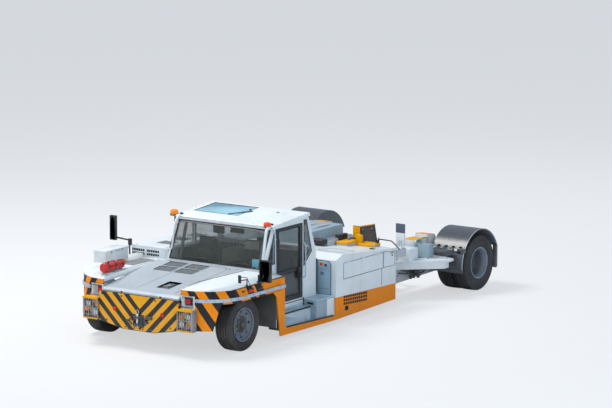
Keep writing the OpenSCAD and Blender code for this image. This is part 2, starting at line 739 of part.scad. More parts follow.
// Body behind the cab, with the compartment on the left side
module left_body() {
    x0 = cab_right - 20;
    outer = [[box_front, 200], [box_front, 1150], [box_front + 220, 1240], [bay_y, deck_z(bay_y)], [bay_y, 200]];
    inner = [[box_front + t, 220], [box_front + t, 1135], [box_front + 230, 1215],
        [bay_y - t, 1058], [bay_y - t, 220]];
    color("#eef1f3") difference() {
        prism_x(outer, x0, side_x);
        prism_x(inner, x0 + t, side_x - t);
        box(-910, 905, box_front - e, bay_y + e, 100, 530);
        box(-910, 1305, bay_y - 202, bay_y + e, 100, 762);
        box(side_x - 25.3, side_x + e, box_front - 50, bay_y + e, 100, skirt_z + 20.3);
        box(side_x - 50, side_x + e, service_y0, service_y1, 785, 1075);
    }
    color("#eef1f3") for (y = service_hinges) {
        box(side_x - e, service_x, y - 50, y - 30, service_z + 3, service_z + 25);
        rod_y(7, service_x, y - 50, y - 30, service_z);
        rod_y(4, service_x, y - 40, y + 30, service_z);
    }
}
module service_door() {
    color("#eef1f3") {
        box(side_x - t, side_x, service_y0 + 6, service_y1 - 6, 791, 1069);
        box(side_x - 1, side_x + 12, service_y1 - 470, service_y1 - 390, 815, 835);
        for (y = service_hinges) difference() {
            union() {
                box(side_x - e, service_x, y - 28, y + 28, service_z - 25, service_z - 3);
                rod_y(7, service_x, y - 28, y + 28, service_z);
            }
            rod_y(4.05, service_x, y - 60, y + 60, service_z);
        }
    }
}

// Height of the sloping deck behind the cab, and the boxes on it as X from, X to, Y from, Y to and top
function deck_z(y) = 1240 - (y - box_front - 220) * 160 / (bay_y - box_front - 220);
deck_boxes = [[710, 950, bay_y - 603, bay_y - 303, 1200], [990, 1290, bay_y - 293, bay_y - 30, 1145],
    [430, 690, bay_y - 853, bay_y - 393, 1250]];
module deck_fittings() {
    color("#8c99a4") {
        // mirror post at the rear corner on its box, lamp box and rail on the deck
        box(1480, 1640, bay_y + 0.3, bay_y + 300, 900, 1050);
        box(1570, 1630, bay_y + 150, bay_y + 170, 1049, 1200);
        box(1505, 1686, bay_y + 169, bay_y + 185, 1100, 1505);
        bar([1500, bay_y - 553, 1132], [1500, bay_y - 553, 1250], 12);
        // rounded cover over the hydraulics in the middle of the deck
        y0 = bay_y - 980;
        y1 = bay_y - 60;
        intersection() {
            prism_x([[y0, deck_z(y0) + 0.3], [y1, deck_z(y1) + 0.3], [y1, 1240], [y1 - 90, 1330],
                [y1 - 250, 1385], [y0 + 230, 1405], [y0 + 90, 1360], [y0, 1280]], -600, 425);
            prism_y([[-600, 1000], [425, 1000], [425, 1270], [375, 1350], [290, 1405], [-350, 1405],
                [-510, 1350], [-600, 1270]], y0, y1);
        }
        // boxes on the sloping deck: X, Y and top
        for (b = deck_boxes) prism_x([[b[2], deck_z(b[2]) + 0.3], [b[3], deck_z(b[3]) + 0.3],
            [b[3], b[4]], [b[2], b[4]]], b[0], b[1]);
    }
}

// Swept steps that carry the front of the rear fenders
module rear_arms() {
    color("#eef1f3") both() {
        slab([[1300, ra_y - 1780], [fender_x - 10, ra_y - 1080], [fender_x - 10, ra_y - 930],
            [1300, ra_y - 680]], 700, 745);
        slab([[1300, ra_y - 1750], [fender_x - 90, ra_y - 1120], [fender_x - 90, ra_y - 970],
            [1300, ra_y - 710]], 575, 701);
    }
}

// Height of the rear beams' top
function beam_z(y) = 760 - (y - ra_y + 1140) * 40 / 1340 + 0.3;
// Covers and brackets on the rear beams and arms
module rear_covers() {
    color("#dfe4e8") both() {
        box(1220, 1560, ra_y - 1660, ra_y - 1360, 760.3, 965);
        box(1320, 1560, ra_y - 1660, ra_y - 1360, 745.3, 800);
        prism_x([[ra_y - 1040, beam_z(ra_y - 1040)], [ra_y - 640, beam_z(ra_y - 640)],
            [ra_y - 640, 1000], [ra_y - 1040, 1012]], 1000, 1290);
        prism_x([[ra_y - 620, beam_z(ra_y - 620)], [ra_y - 290, beam_z(ra_y - 290)],
            [ra_y - 340, 1030], [ra_y - 620, 1065]], 1020, 1290);
        prism_x([[ra_y - 1220, 745.3], [ra_y - 1000, 745.3], [ra_y - 1000, 1000], [ra_y - 1040, 1060],
            [ra_y - 1180, 1060], [ra_y - 1220, 1000]], 1380, 1420);
        prism_x([[ra_y - 1200, 745.3], [ra_y - 1020, 745.3], [ra_y - 1020, 990], [ra_y - 1180, 1000]],
            1419, 1680);
        rod_x(50, 1340, 1381, ra_y - 1110, 910);
    }
}

// Half drums over the twin wheels: an arc from the front flange to the rear bracket
module rear_fenders() {
    color("#3c3f43") both() {
        difference() {
            rod_x(fender_r, fender_in, fender_x, ra_y, rear_tyre_r);
            rod_x(fender_r - 14, fender_in + 12, fender_x + e, ra_y, rear_tyre_r);
            rod_x(131, fender_in - e, fender_in + 20, ra_y, rear_tyre_r);
            box(fender_in - e, fender_x + e, ra_y - 700, ra_y + 700, -200, rear_tyre_r - 108);
            box(fender_in - e, fender_x + e, ra_y, ra_y + 700, -200, rear_tyre_r + 245);
        }
        // block that sits on the arm, flange at the front and bracket at the rear
        box(1460, 1850, ra_y - fender_r - 217, ra_y - fender_r + 58, 745.3, 850);
        prism_x([[ra_y - fender_r + 53, 790], [ra_y - fender_r + 113, 780], [ra_y - fender_r + 113, 860],
            [ra_y - fender_r + 53, 870]], fender_in, fender_x);
        box(fender_x - 70, fender_x, rear_y - 60, rear_y - 0.2, 360,
            rear_tyre_r + sqrt(pow(fender_r, 2) - pow(rear_overhang - 10, 2)));
    }
}

// Lifting cradle hung between the rear beams, with lugs for the gates and the lift rods
module cradle() {
    color("#7f98ac") difference() {
        union() {
            both() {
                prism_x([[cradle_y - 70, cradle_z - 60], [cradle_y + 60, cradle_z - 90],
                    [gate_y + 60, 190], [gate_y + 60, 420], [cradle_y + 300, 600],
                    [cradle_y - 70, cradle_z + 70]], 710, 740);
                rod_x(25, 739, 796, cradle_y, cradle_z);
                rod_x(20, 739, 866, lift_b[0], lift_b[1]);
                for (z = [172, 418]) {
                    box(gate_x - 45, 711, gate_y - 50, gate_y + 60, z, z + 22);
                    translate([gate_x, gate_y, z]) cylinder(r = 45, h = 22);
                }
                translate([gate_x, gate_y, 172]) cylinder(r = 22, h = 268);
            }
            prism_x([[cradle_y + 50, 330], [gate_y - 300, 200], [gate_y - 300, 225],
                [cradle_y + 350, 560], [cradle_y + 300, 580], [cradle_y + 50, 360]], -711, 711);
        }
    }
}
// Gate on the vehicle's left, closed across the bay behind the aircraft's nose wheels
module gate() {
    difference() {
        union() {
            translate([gate_x, gate_y, 200]) cylinder(r = 42, h = 212);
            box(60, gate_x, gate_y - 25, gate_y + 25, 215, 395);
        }
        translate([gate_x, gate_y, 150]) cylinder(r = 22.05, h = 300);
    }
    rod_z(38, 120, gate_y - 56, 225, 385);
}
// Upright cylinder at a given place
module rod_z(r, x, y, z0, z1) {
    translate([x, y, z0]) cylinder(r = r, h = z1 - z0);
}
module left_gate() {
    color("#e0b020") gate();
}
module right_gate() {
    color("#e0b020") mirror([1, 0, 0]) gate();
}
// Places a piece drawn along +Y from the lift cylinder's upper pin
module on_lift() {
    translate([0, lift_a[0], lift_a[1]]) rotate([lift_angle, 0, 0]) children();
}
module lift_barrels() {
    color("#5d6f80") both() on_lift() difference() {
        union() {
            rod_x(38, 790, 870);
            rod_y(45, 830, 0, 780, 0);
        }
        rod_x(20.05, 700, 900);
        rod_y(22.1, 830, 220, 800, 0);
    }
}
module lift_rods() {
    color("#c9ced2") both() on_lift() difference() {
        union() {
            rod_y(22, 830, 340, lift_l - 30, 0);
            rod_x(40, 806, 854, lift_l);
        }
        rod_x(24, 700, 900, lift_l);
    }
}
// Shaft with two paddles that fold down on the nose wheels
module hold_down() {
    color("#4b4d50") {
        rod_x(25, -1150, 1150, hold_y, hold_z);
        both() {
            prism_y([[690, hold_z - 20], [1150, hold_z - 20], [1150, 1130], [1090, 1468], [800, 1400],
                [800, 1215], [690, 1215]], hold_y - 18, hold_y + 18);
            // padded plate beside the paddle and a stiffener at its outer edge
            box(650, 802, hold_y - 34, hold_y - 14, hold_z - 25, 1395);
            box(1110, 1138, hold_y - 30, hold_y + 30, hold_z - 30, 1170);
        }
    }
}

main_frame();
rear_frame();
front_axle();
left_knuckle();
right_knuckle();
tie_rod();
front_left_rim();
front_left_tyre();
front_right_rim();
front_right_tyre();
rear_left_rims();
rear_left_tyres();
rear_right_rims();
rear_right_tyres();
front_plate();
tow_hitch();
hood();
left_pod();
right_pod();
rub_rails();
lamp_guards();
lamps();
toolbox();
toolbox_lid();
extinguishers();
right_body();
engine_cover();
engine();
cab_shell();
cab_roof();
cab_glass();
cab_door();
door_glass();
seat();
dashboard();
steering_wheel();
mirrors();
entry_steps();
skirts();
left_body();
service_door();
deck_fittings();
rear_arms();
rear_covers();
rear_fenders();
cradle();
left_gate();
right_gate();
lift_barrels();
lift_rods();
hold_down();
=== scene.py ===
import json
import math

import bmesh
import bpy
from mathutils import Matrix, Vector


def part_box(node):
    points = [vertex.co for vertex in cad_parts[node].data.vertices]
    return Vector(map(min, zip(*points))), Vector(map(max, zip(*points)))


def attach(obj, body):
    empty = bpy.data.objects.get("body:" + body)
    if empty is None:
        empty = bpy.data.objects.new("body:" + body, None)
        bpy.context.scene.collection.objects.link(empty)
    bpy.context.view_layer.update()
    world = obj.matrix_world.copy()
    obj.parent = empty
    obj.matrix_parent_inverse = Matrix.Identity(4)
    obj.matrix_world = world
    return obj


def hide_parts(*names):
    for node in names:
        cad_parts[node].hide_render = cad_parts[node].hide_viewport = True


bl_info = {
    "name": "Aircraft pushback tractor",
    "version": (1, 0, 0),
    "blender": (4, 5, 0),
    "location": "3D View > Sidebar > Tractor",
    "description": "Dresses the packed model of a towbarless pushback tractor",
    "category": "Object",
}

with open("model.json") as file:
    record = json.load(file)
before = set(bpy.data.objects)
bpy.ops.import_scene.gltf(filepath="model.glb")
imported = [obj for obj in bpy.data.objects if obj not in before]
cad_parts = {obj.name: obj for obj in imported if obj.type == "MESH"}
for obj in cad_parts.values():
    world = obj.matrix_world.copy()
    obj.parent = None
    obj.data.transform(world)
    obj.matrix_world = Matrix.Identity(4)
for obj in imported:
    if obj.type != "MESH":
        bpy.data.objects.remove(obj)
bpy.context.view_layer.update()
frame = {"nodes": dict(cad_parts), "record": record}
NODES = frame["nodes"]

# Places that several pieces share, in metres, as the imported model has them
FRONT_AXLE_Y = -3.2
FRONT_AXLE_Z = 0.463
REAR_AXLE_Y = 3.64
REAR_AXLE_Z = 0.518
SIDE_X = 1.61
CORNER_R = 0.7
CORNER_X = SIDE_X - CORNER_R
CORNER_Y = -3.35
CAB_LEFT = 1.28
CAB_RIGHT = -0.78
BAND_TOP = 1.128
SKIRT_TOP = 0.47

UP = (0, 0, 1)
FORWARD = (0, -1, 0)
BACKWARD = (0, 1, 0)
SIDEWAYS = (1, 0, 0)


# Settings that a user would change
class TractorSizes(bpy.types.PropertyGroup):
    """Sizes of the added detail"""

    tread_depth: bpy.props.FloatProperty(
        name="Tread depth", description="Depth of the tyres' grooves", default=0.014, unit="LENGTH")
    tread_blocks: bpy.props.IntProperty(
        name="Tread blocks", description="Blocks round a tyre", default=72)
    nut_circle: bpy.props.FloatProperty(
        name="Nut circle", description="Radius of the circle of wheel nuts", default=0.165, unit="LENGTH")
    gasket: bpy.props.FloatProperty(
        name="Window gasket", description="Width of the rubber round the windows", default=0.022,
        unit="LENGTH")
    stripe_pitch: bpy.props.FloatProperty(
        name="Chevron pitch", description="Height of one yellow and one black stripe", default=0.25,
        unit="LENGTH")


def colour_setting(name, description, value):
    """A colour property with its default."""
    return bpy.props.FloatVectorProperty(
        name=name, description=description, subtype="COLOR", size=3, min=0.0, max=1.0, default=value)


class TractorColours(bpy.types.PropertyGroup):
    """Colours of the finishes"""

    white: colour_setting("White", "Body paint", (0.72, 0.765, 0.785))
    hood: colour_setting("Hood", "Paint of the hood", (0.42, 0.465, 0.505))
    orange: colour_setting("Orange", "Paint of the skirts and stripes", (0.88, 0.25, 0.001))
    yellow: colour_setting("Yellow", "Paint of the front plate and the gates", (0.8, 0.36, 0.002))
    black: colour_setting("Black", "Dark stripes and black plastic", (0.02, 0.021, 0.023))
    rubber: colour_setting("Rubber", "Tyres", (0.026, 0.0225, 0.022))
    fender: colour_setting("Rear fenders", "Dark grey fenders", (0.075, 0.08, 0.09))
    rim: colour_setting("Rims", "Wheel paint", (0.17, 0.21, 0.26))
    rail: colour_setting("Rail", "Rub rails and guards", (0.42, 0.5, 0.58))
    step: colour_setting("Steps", "Light blue steps", (0.47, 0.61, 0.71))
    frame_paint: colour_setting("Frame", "Paint of the frame", (0.42, 0.45, 0.49))
    dark_metal: colour_setting("Dark metal", "Axle, knuckles and jaw", (0.05, 0.053, 0.058))
    red: colour_setting("Red", "Extinguishers and lamps", (0.55, 0.025, 0.02))
    amber: colour_setting("Amber", "Flashing beacons", (0.85, 0.25, 0.01))
    glass: colour_setting("Glass", "Tint of the windows", (0.09, 0.1, 0.092))
    floor: colour_setting("Floor", "Floor and backdrop", (0.78, 0.79, 0.8))


def settings():
    """The sizes and the colours."""
    scene = bpy.context.scene
    return scene.tractor_sizes, scene.tractor_colours


# Materials
class Value:
    """A number or colour inside a material, which takes part in plain arithmetic."""

    def __init__(self, finish, socket):
        self.finish = finish
        self.socket = socket

    def __add__(self, other):
        return self.finish.calc("ADD", self, other)

    def __sub__(self, other):
        return self.finish.calc("SUBTRACT", self, other)

    def __rsub__(self, other):
        return self.finish.calc("SUBTRACT", other, self)

    def __mul__(self, other):
        return self.finish.calc("MULTIPLY", self, other)

    def __gt__(self, other):
        return self.finish.calc("GREATER_THAN", self, other)

    def __lt__(self, other):
        return self.finish.calc("LESS_THAN", self, other)

    def __abs__(self):
        return self.finish.calc("ABSOLUTE", self)

    def ease(self, low, high):
        """0 at low and 1 at high, smooth between them."""
        made = self.finish.node("ShaderNodeMapRange", interpolation_type="SMOOTHSTEP")
        self.finish.put(made.inputs["Value"], self)
        made.inputs["From Min"].default_value = min(low, high)
        made.inputs["From Max"].default_value = max(low, high)
        made.inputs["To Min"].default_value = 0.0 if low < high else 1.0
        made.inputs["To Max"].default_value = 1.0 if low < high else 0.0
        return Value(self.finish, made.outputs["Result"])


class Finish:
    """A material whose nodes are added by short calls."""

    def __init__(self, name):
        self.material = bpy.data.materials.new(name)
        self.material.use_nodes = True
        self.tree = self.material.node_tree
        self.shader = self.tree.nodes["Principled BSDF"]
        self.place = self.node("ShaderNodeTexCoord").outputs["Object"]

    def node(self, kind, **choices):
        made = self.tree.nodes.new(kind)
        for key, value in choices.items():
            setattr(made, key, value)
        return made

    def put(self, socket, value):
        """Links a node's output to a socket, or sets its number or colour."""
        if isinstance(value, Value):
            value = value.socket
        if isinstance(value, bpy.types.NodeSocket):
            self.tree.links.new(value, socket)
        elif socket.type == "RGBA" and len(value) == 3:
            socket.default_value = (*value, 1.0)
        else:
            socket.default_value = value

    def calc(self, operation, *values):
        made = self.node("ShaderNodeMath", operation=operation)
        for socket, value in zip(made.inputs, values):
            self.put(socket, value)
        return Value(self, made.outputs[0])

    def axes(self):
        made = self.node("ShaderNodeSeparateXYZ")
        self.put(made.inputs[0], self.place)
        return [Value(self, socket) for socket in made.outputs]

    def noise(self, scale, detail=3.0, stretch=(1.0, 1.0, 1.0)):
        mapping = self.node("ShaderNodeMapping")
        self.put(mapping.inputs["Vector"], self.place)
        mapping.inputs["Scale"].default_value = stretch
        made = self.node("ShaderNodeTexNoise")
        self.put(made.inputs["Vector"], mapping.outputs[0])
        made.inputs["Scale"].default_value = scale
        made.inputs["Detail"].default_value = detail
        return Value(self, made.outputs["Fac"])

    def pattern(self, kind, scale, **choices):
        made = self.node(kind, **choices)
        self.put(made.inputs["Vector"], self.place)
        made.inputs["Scale"].default_value = scale
        return Value(self, made.outputs["Fac"])

    def mix(self, factor, first, second):
        made = self.node("ShaderNodeMix", data_type="RGBA")
        self.put(made.inputs["Factor"], factor)
        self.put(made.inputs[6], first)
        self.put(made.inputs[7], second)
        return Value(self, made.outputs[2])

    def bump(self, height, distance, strength=1.0):
        made = self.node("ShaderNodeBump")
        made.inputs["Strength"].default_value = strength
        made.inputs["Distance"].default_value = distance
        self.put(made.inputs["Height"], height)
        self.put(self.shader.inputs["Normal"], made.outputs[0])

    def set(self, **values):
        for key, value in values.items():
            self.put(self.shader.inputs[key.replace("_", " ")], value)


DIRT = (0.16, 0.145, 0.125)
DUST = (0.42, 0.4, 0.37)
TYRE_DUST = (0.1, 0.095, 0.088)
# brake dust colour, also used as painted shade in the rims' recessed dish
BRAKE_DUST_AND_SHADE = (0.05, 0.042, 0.038)


def shade(colour, factor):
    """A plain colour made darker or lighter."""
    if isinstance(colour, Value):
        return colour
    return tuple(min(1.0, part * factor) for part in colour)


def weather(finish, colour, rough, dirt, dust, grain=0.0006):
    """Adds streaks of dirt, road dust low down, uneven gloss and a slight orange peel to a colour."""
    height = finish.axes()[2]
    patches = finish.noise(2.2, 5.0)
    streaks = finish.noise(7.0, 6.0, (1.0, 1.0, 0.16))
    specks = finish.noise(55.0, 4.0)
    mask = streaks.ease(0.5, 0.78) * patches.ease(0.36, 0.62) * dirt
    mask = finish.calc("MAXIMUM", mask, specks.ease(0.66, 0.74) * (dirt * 0.5))
    low = height.ease(1.0, 0.15) * patches.ease(0.2, 0.75) * dust
    tone = finish.mix(patches.ease(0.3, 0.7), colour, shade(colour, 0.93))
    finish.set(Base_Color=finish.mix(low, finish.mix(mask, tone, DIRT), DUST))
    finish.set(Roughness=(mask + low) * 0.35 + rough)
    finish.bump(specks, grain, 0.5)


def painted(name, colour, rough=0.32, dirt=0.35, dust=0.35, coat=0.15):
    """Sheet metal paint."""
    finish = Finish(name)
    weather(finish, colour, rough, dirt, dust)
    finish.set(Coat_Weight=coat, Coat_Roughness=0.15, Specular_IOR_Level=0.3 if coat else 0.15)
    return finish.material


def metal(name, colour, rough=0.4, dirt=0.3, shine=0.75):
    """Bare or galvanised metal."""
    finish = Finish(name)
    weather(finish, colour, rough, dirt, 0.3, 0.001)
    finish.set(Metallic=shine)
    return finish.material


def plastic(name, colour, rough=0.5, dust=0.2, grain=0.0015):
    """Moulded plastic or rubber with a fine grain."""
    finish = Finish(name)
    weather(finish, colour, rough, 0.12, dust, grain)
    return finish.material


def lens(name, colour, glow=0.0):
    """Lamp plastic with fine ribs."""
    finish = Finish(name)
    ribs = finish.pattern("ShaderNodeTexWave", 60.0, wave_type="BANDS", bands_direction="Z")
    finish.set(Base_Color=finish.mix(ribs, colour, shade(colour, 0.7)))
    finish.set(Roughness=0.2, Coat_Weight=0.1, Specular_IOR_Level=0.2)
    # glow: a lamp's own light on lamps; on the tray, the reflectors and the stop button, which are no lamps,
    # it is a painted glow
    finish.set(Emission_Color=colour, Emission_Strength=glow)
    finish.bump(ribs, 0.001)
    return finish.material


def clear_glass(name, colour, alpha):
    """Tinted window glass with light dust."""
    finish = Finish(name)
    film = finish.noise(1.6, 5.0).ease(0.35, 0.8)
    finish.set(Base_Color=finish.mix(film, colour, shade(colour, 1.5)))
    finish.set(Roughness=0.03, Alpha=alpha, IOR=1.45)
    return finish.material


def mirror_glass(name):
    """Silvered glass."""
    finish = Finish(name)
    film = finish.noise(9.0).ease(0.4, 0.8)
    finish.set(Base_Color=finish.mix(film, (0.62, 0.68, 0.72), (0.5, 0.55, 0.58)))
    finish.set(Metallic=1.0, Roughness=0.06)
    return finish.material


def fender_place(finish):
    """Path length round the front corner and height, with a mask of the outer skin."""
    x, y, z = finish.axes()
    beyond = abs(x) - CORNER_X
    out = finish.calc("MAXIMUM", beyond, 0.0)
    ahead = finish.calc("MAXIMUM", CORNER_Y - y, 0.0)
    radius = finish.calc("SQRT", out * out + ahead * ahead)
    straight = finish.calc("MAXIMUM", y - CORNER_Y, 0.0) + finish.calc("MINIMUM", beyond, 0.0)
    path = finish.calc("ARCTAN2", out, ahead) * CORNER_R + straight
    return path, z, radius > CORNER_R - 0.01


# Orange stripes on the fender band, as ranges of path length plus a share of the height
FENDER_STRIPES = [(0.62, 0.785), (0.935, 1.1), (1.29, 1.465), (1.69, 1.95), (2.12, 2.2), (2.4, 9.0)]
STRIPE_LEAN = 0.66

# Parts inside a front fender that stay white instead of taking the painted shade: the niche for the corner
# lamp, and the wall beside the hood
NICHE_X = 1.1
NICHE_Y = -3.88
NICHE_Z = 1.035
WALL_X = 1.0
WALL_Y = -4.03
WALL_Z = 0.98


def fender_paint(name, colours):
    """White tops over a band of orange and black stripes, with painted shade on the inside faces."""
    finish = Finish(name)
    path, height, skin = fender_place(finish)
    wave = path + height * STRIPE_LEAN
    stripe = None
    for low, high in FENDER_STRIPES:
        inside = (wave > low) * (wave < high)
        stripe = stripe + inside if stripe else inside
    band = finish.mix(stripe, colours.black, colours.orange)
    # painted shade: faces inside the outer skin, below the top of the band, are near black
    coat = finish.mix(skin, shade(colours.black, 1.4), band)
    across, along, up = finish.axes()
    across = abs(across)
    coat = finish.mix((across < NICHE_X) * (along < NICHE_Y) * (up < NICHE_Z), coat, colours.white)
    coat = finish.mix((across < WALL_X) * (up > WALL_Z) * (along > WALL_Y), coat, colours.white)
    weather(finish, finish.mix(height < BAND_TOP, colours.white, coat), 0.5, 0.25, 0.08)
    finish.set(Specular_IOR_Level=0.15)
    return finish.material


CHEVRON_X = 0.03
CHEVRON_TOP = 0.72
YELLOW_SHARE = 0.48


def chevron_paint(name, colours, pitch):
    """Yellow and black chevrons that point up at the middle of the plate."""
    finish = Finish(name)
    across, _, up = finish.axes()
    level = up - abs(across - CHEVRON_X)
    step = finish.calc("WRAP", CHEVRON_TOP - level, pitch, 0.0)
    stripe = finish.calc("MAXIMUM", step > pitch * YELLOW_SHARE, level > CHEVRON_TOP)
    weather(finish, finish.mix(stripe, colours.black, colours.yellow), 0.45, 0.35, 0.1)
    finish.set(Specular_IOR_Level=0.25)
    return finish.material


def rubber_tyre(name, colour):
    """Tyre rubber, dusty on the sides."""
    finish = Finish(name)
    specks = finish.noise(40.0, 6.0)
    dusty = finish.noise(3.0, 4.0).ease(0.35, 0.7) * 0.35
    finish.set(Base_Color=finish.mix(dusty, colour, TYRE_DUST), Roughness=specks * 0.25 + 0.6)
    finish.bump(specks, 0.002, 0.6)
    return finish.material


def cloth(name, colour):
    """Woven seat fabric."""
    finish = Finish(name)
    weave = finish.pattern("ShaderNodeTexChecker", 300.0)
    worn = finish.noise(5.0).ease(0.3, 0.7)
    finish.set(Base_Color=finish.mix(worn, colour, shade(colour, 1.7)))
    finish.set(Roughness=0.9, Sheen_Weight=0.3)
    finish.bump(weave, 0.001)
    return finish.material


def tread_plate(name, colour):
    """Sheet with raised grip ribs."""
    finish = Finish(name)
    weather(finish, colour, 0.45, 0.5, 0.4)
    finish.bump(finish.pattern("ShaderNodeTexWave", 25.0, wave_type="BANDS", bands_direction="DIAGONAL"),
                0.003)
    return finish.material


def rim_paint(name, colour, axle_y, axle_z, clean, depth):
    """Wheel paint darkened towards the axle by brake dust and by painted shade in the recessed dish."""
    finish = Finish(name)
    x, y, z = finish.axes()
    y = y - axle_y
    z = z - axle_z
    # darker towards the axle, partly brake dust and partly painted shade; the part deeper than the disc face
    # gets painted shade of the recess
    out = finish.calc("SQRT", y * y + z * z) + finish.noise(12.0) * 0.05
    recess_shade = abs(x).ease(depth + 0.05, depth - 0.05) * 0.75
    dusty = finish.calc("MAXIMUM", out.ease(clean + 0.06, clean - 0.02), recess_shade)
    weather(finish, finish.mix(dusty, colour, BRAKE_DUST_AND_SHADE), 0.45, 0.5, 0.15)
    return finish.material


MATERIALS = {}


def make_materials():
    """Every finish by its name."""
    sizes, colours = settings()
    MATERIALS.update({
        "white": painted("white_paint", colours.white, 0.35, 0.16, 0.12),
        "roof_white": painted("roof_paint", shade(colours.white, 1.05), 0.35, 0.2, 0.0),
        "hood_paint": painted("hood_paint", colours.hood, 0.42, 0.25, 0.1),
        "orange": painted("orange_paint", colours.orange, 0.5, 0.3, 0.05, 0.0),
        "yellow": painted("yellow_paint", colours.yellow, 0.45, 0.35, 0.1, 0.0),
        "frame_paint": painted("frame_paint", colours.frame_paint, 0.5, 0.6, 0.45),
        "rim_blue": painted("rim_paint", colours.rim, 0.42, 0.5, 0.2),
        "front_rim": rim_paint("front_rim_paint", shade(colours.rim, 0.6), FRONT_AXLE_Y, FRONT_AXLE_Z, 0.17,
                               1.4),
        "rear_rim": rim_paint("rear_rim_paint", shade(colours.rim, 1.5), REAR_AXLE_Y, REAR_AXLE_Z, 0.24,
                              1.94),
        "step_blue": painted("step_paint", colours.step, 0.42, 0.45, 0.4),
        # a darker copy of the step paint, used as painted shade
        "step_painted_shade": painted("step_painted_shade", shade(colours.step, 0.62), 0.42, 0.45, 0.2),
        "grip_step": tread_plate("grip_plate", colours.step),
        "cradle_paint": painted("cradle_paint", (0.26, 0.35, 0.43), 0.45, 0.5, 0.4),
        "red_paint": painted("red_paint", colours.red, 0.25, 0.2, 0.15),
        "fender_grey": plastic("fender_plastic", colours.fender, 0.26, 0.3),
        "rubber_pad": plastic("rubber_pad", (0.05, 0.046, 0.044), 0.75, 0.3),
        "deck_paint": painted("deck_paint", (0.46, 0.5, 0.54), 0.45, 0.4, 0.3),
        "teal_paint": painted("teal_paint", (0.31, 0.41, 0.46), 0.25, 0.5, 0.3, 0.4),
        "grip_mat": plastic("grip_mat", (0.22, 0.22, 0.22), 0.8, 0.4, 0.004),
        "olive": plastic("olive_trim", (0.11, 0.105, 0.085), 0.75, 0.1),
        "slate": plastic("slate_panel", (0.09, 0.115, 0.15), 0.3, 0.2),
        # painted shade: the blue that a pale panel shows in shade
        "panel_shaded_blue": painted("panel_shaded_paint", (0.3, 0.44, 0.56), 0.4, 0.25, 0.1),
        "beacon_red": lens("beacon_red", (0.8, 0.07, 0.01), 0.25),
        # the tray glows though it is no lamp: a painted glow
        "glowing_cyan_tray": lens("glowing_cyan_tray", (0.2, 0.7, 0.9), 0.3),
        "black_plastic": plastic("black_plastic", colours.black, 0.42, 0.15),
        "gasket": plastic("gasket_rubber", (0.012, 0.012, 0.013), 0.6, 0.1),
        "grey_plastic": plastic("grey_plastic", (0.2, 0.19, 0.17), 0.55, 0.1),
        "dark_metal": metal("dark_metal", colours.dark_metal, 0.55, 0.4, 0.25),
        "rail": painted("rail_paint", colours.rail, 0.38, 0.4, 0.3),
        "galvanised": metal("galvanised", (0.3, 0.32, 0.34), 0.42, 0.45, 0.6),
        "steel_rod": metal("bright_steel", (0.62, 0.64, 0.66), 0.18, 0.1),
        # near black: painted shade in gaps, slots and recesses, and a few black parts
        "gap_shade_and_black": plastic("gap_shade_and_black", (0.006, 0.006, 0.007), 0.8, 0.0),
        "red_lens": lens("red_lens", colours.red, 0.2),
        "amber_lens": lens("amber_lens", colours.amber, 0.3),
        "pale_lens": lens("pale_lens", (0.75, 0.77, 0.78), 0.1),
        "glass": clear_glass("window_glass", colours.glass, 0.26),
        "roof_pane": clear_glass("roof_pane", (0.3, 0.52, 0.62), 0.85),
        "mesh_grey": plastic("grille_mesh", (0.055, 0.058, 0.063), 0.6, 0.2),
        # painted shade for the wheel wells
        "well_shade": plastic("well_shade_plastic", (0.062, 0.058, 0.052), 0.8, 0.25),
        "mirror": mirror_glass("mirror_glass"),
        "tyre": rubber_tyre("tyre_rubber", colours.rubber),
        "seat_fabric": cloth("seat_fabric", (0.03, 0.03, 0.035)),
        "fender_paint": fender_paint("fender_paint", colours),
        "chevrons": chevron_paint("chevron_paint", colours, sizes.stripe_pitch),
    })


# Drawing: shapes are added to one bmesh until piece() makes an object of them
class Pen:
    """The bmesh that is drawn on, and the side of the tractor: 1 is its left and -1 its right."""

    bm = bmesh.new()
    side = 1


def both():
    """Lets a loop draw the same on the right and on the left."""
    for Pen.side in (-1, 1):
        yield Pen.side


def at(point):
    """A point or direction on the side that is drawn."""
    return Vector((point[0] * Pen.side, point[1], point[2]))


def edges_of(verts):
    """The edges between the given vertices."""
    chosen = set(verts)
    return [edge for edge in {edge for vert in verts for edge in vert.link_edges}
            if edge.verts[0] in chosen and edge.verts[1] in chosen]


def round_edges(edges, width, segments=2):
    """Bevels the given edges."""
    bmesh.ops.bevel(Pen.bm, geom=list(edges), offset=width, offset_type="OFFSET", affect="EDGES",
                    segments=segments, profile=0.5, material=-1, clamp_overlap=True)


def block(x, y, z, edge=0.003, segments=2):
    """A box between two values on each axis, with rounded edges."""
    centre = at(((x[0] + x[1]) / 2, (y[0] + y[1]) / 2, (z[0] + z[1]) / 2))
    size = [abs(x[1] - x[0]), abs(y[1] - y[0]), abs(z[1] - z[0])]
    matrix = Matrix.Translation(centre) @ Matrix.Diagonal((*size, 1.0))
    verts = bmesh.ops.create_cube(Pen.bm, size=1.0, matrix=matrix)["verts"]
    if edge:
        round_edges(edges_of(verts), min(edge, min(size) * 0.4), segments)


def rod(start, end, radius, sides=16, edge=0.0):
    """A round bar between two points."""
    start = at(start)
    line = at(end) - start
    turn = line.to_track_quat("Z", "Y").to_matrix().to_4x4()
    made = bmesh.ops.create_cone(Pen.bm, cap_ends=True, segments=sides, radius1=radius, radius2=radius,
                                 depth=line.length, matrix=Matrix.Translation(start + line / 2) @ turn)
    if edge:
        faces = {face for vert in made["verts"] for face in vert.link_faces}
        round_edges({item for face in faces if len(face.verts) > 4 for item in face.edges}, edge)


def ball(centre, radius, detail):
    """A round knob."""
    bmesh.ops.create_uvsphere(Pen.bm, u_segments=detail * 2, v_segments=detail, radius=radius,
                              matrix=Matrix.Translation(at(centre)))


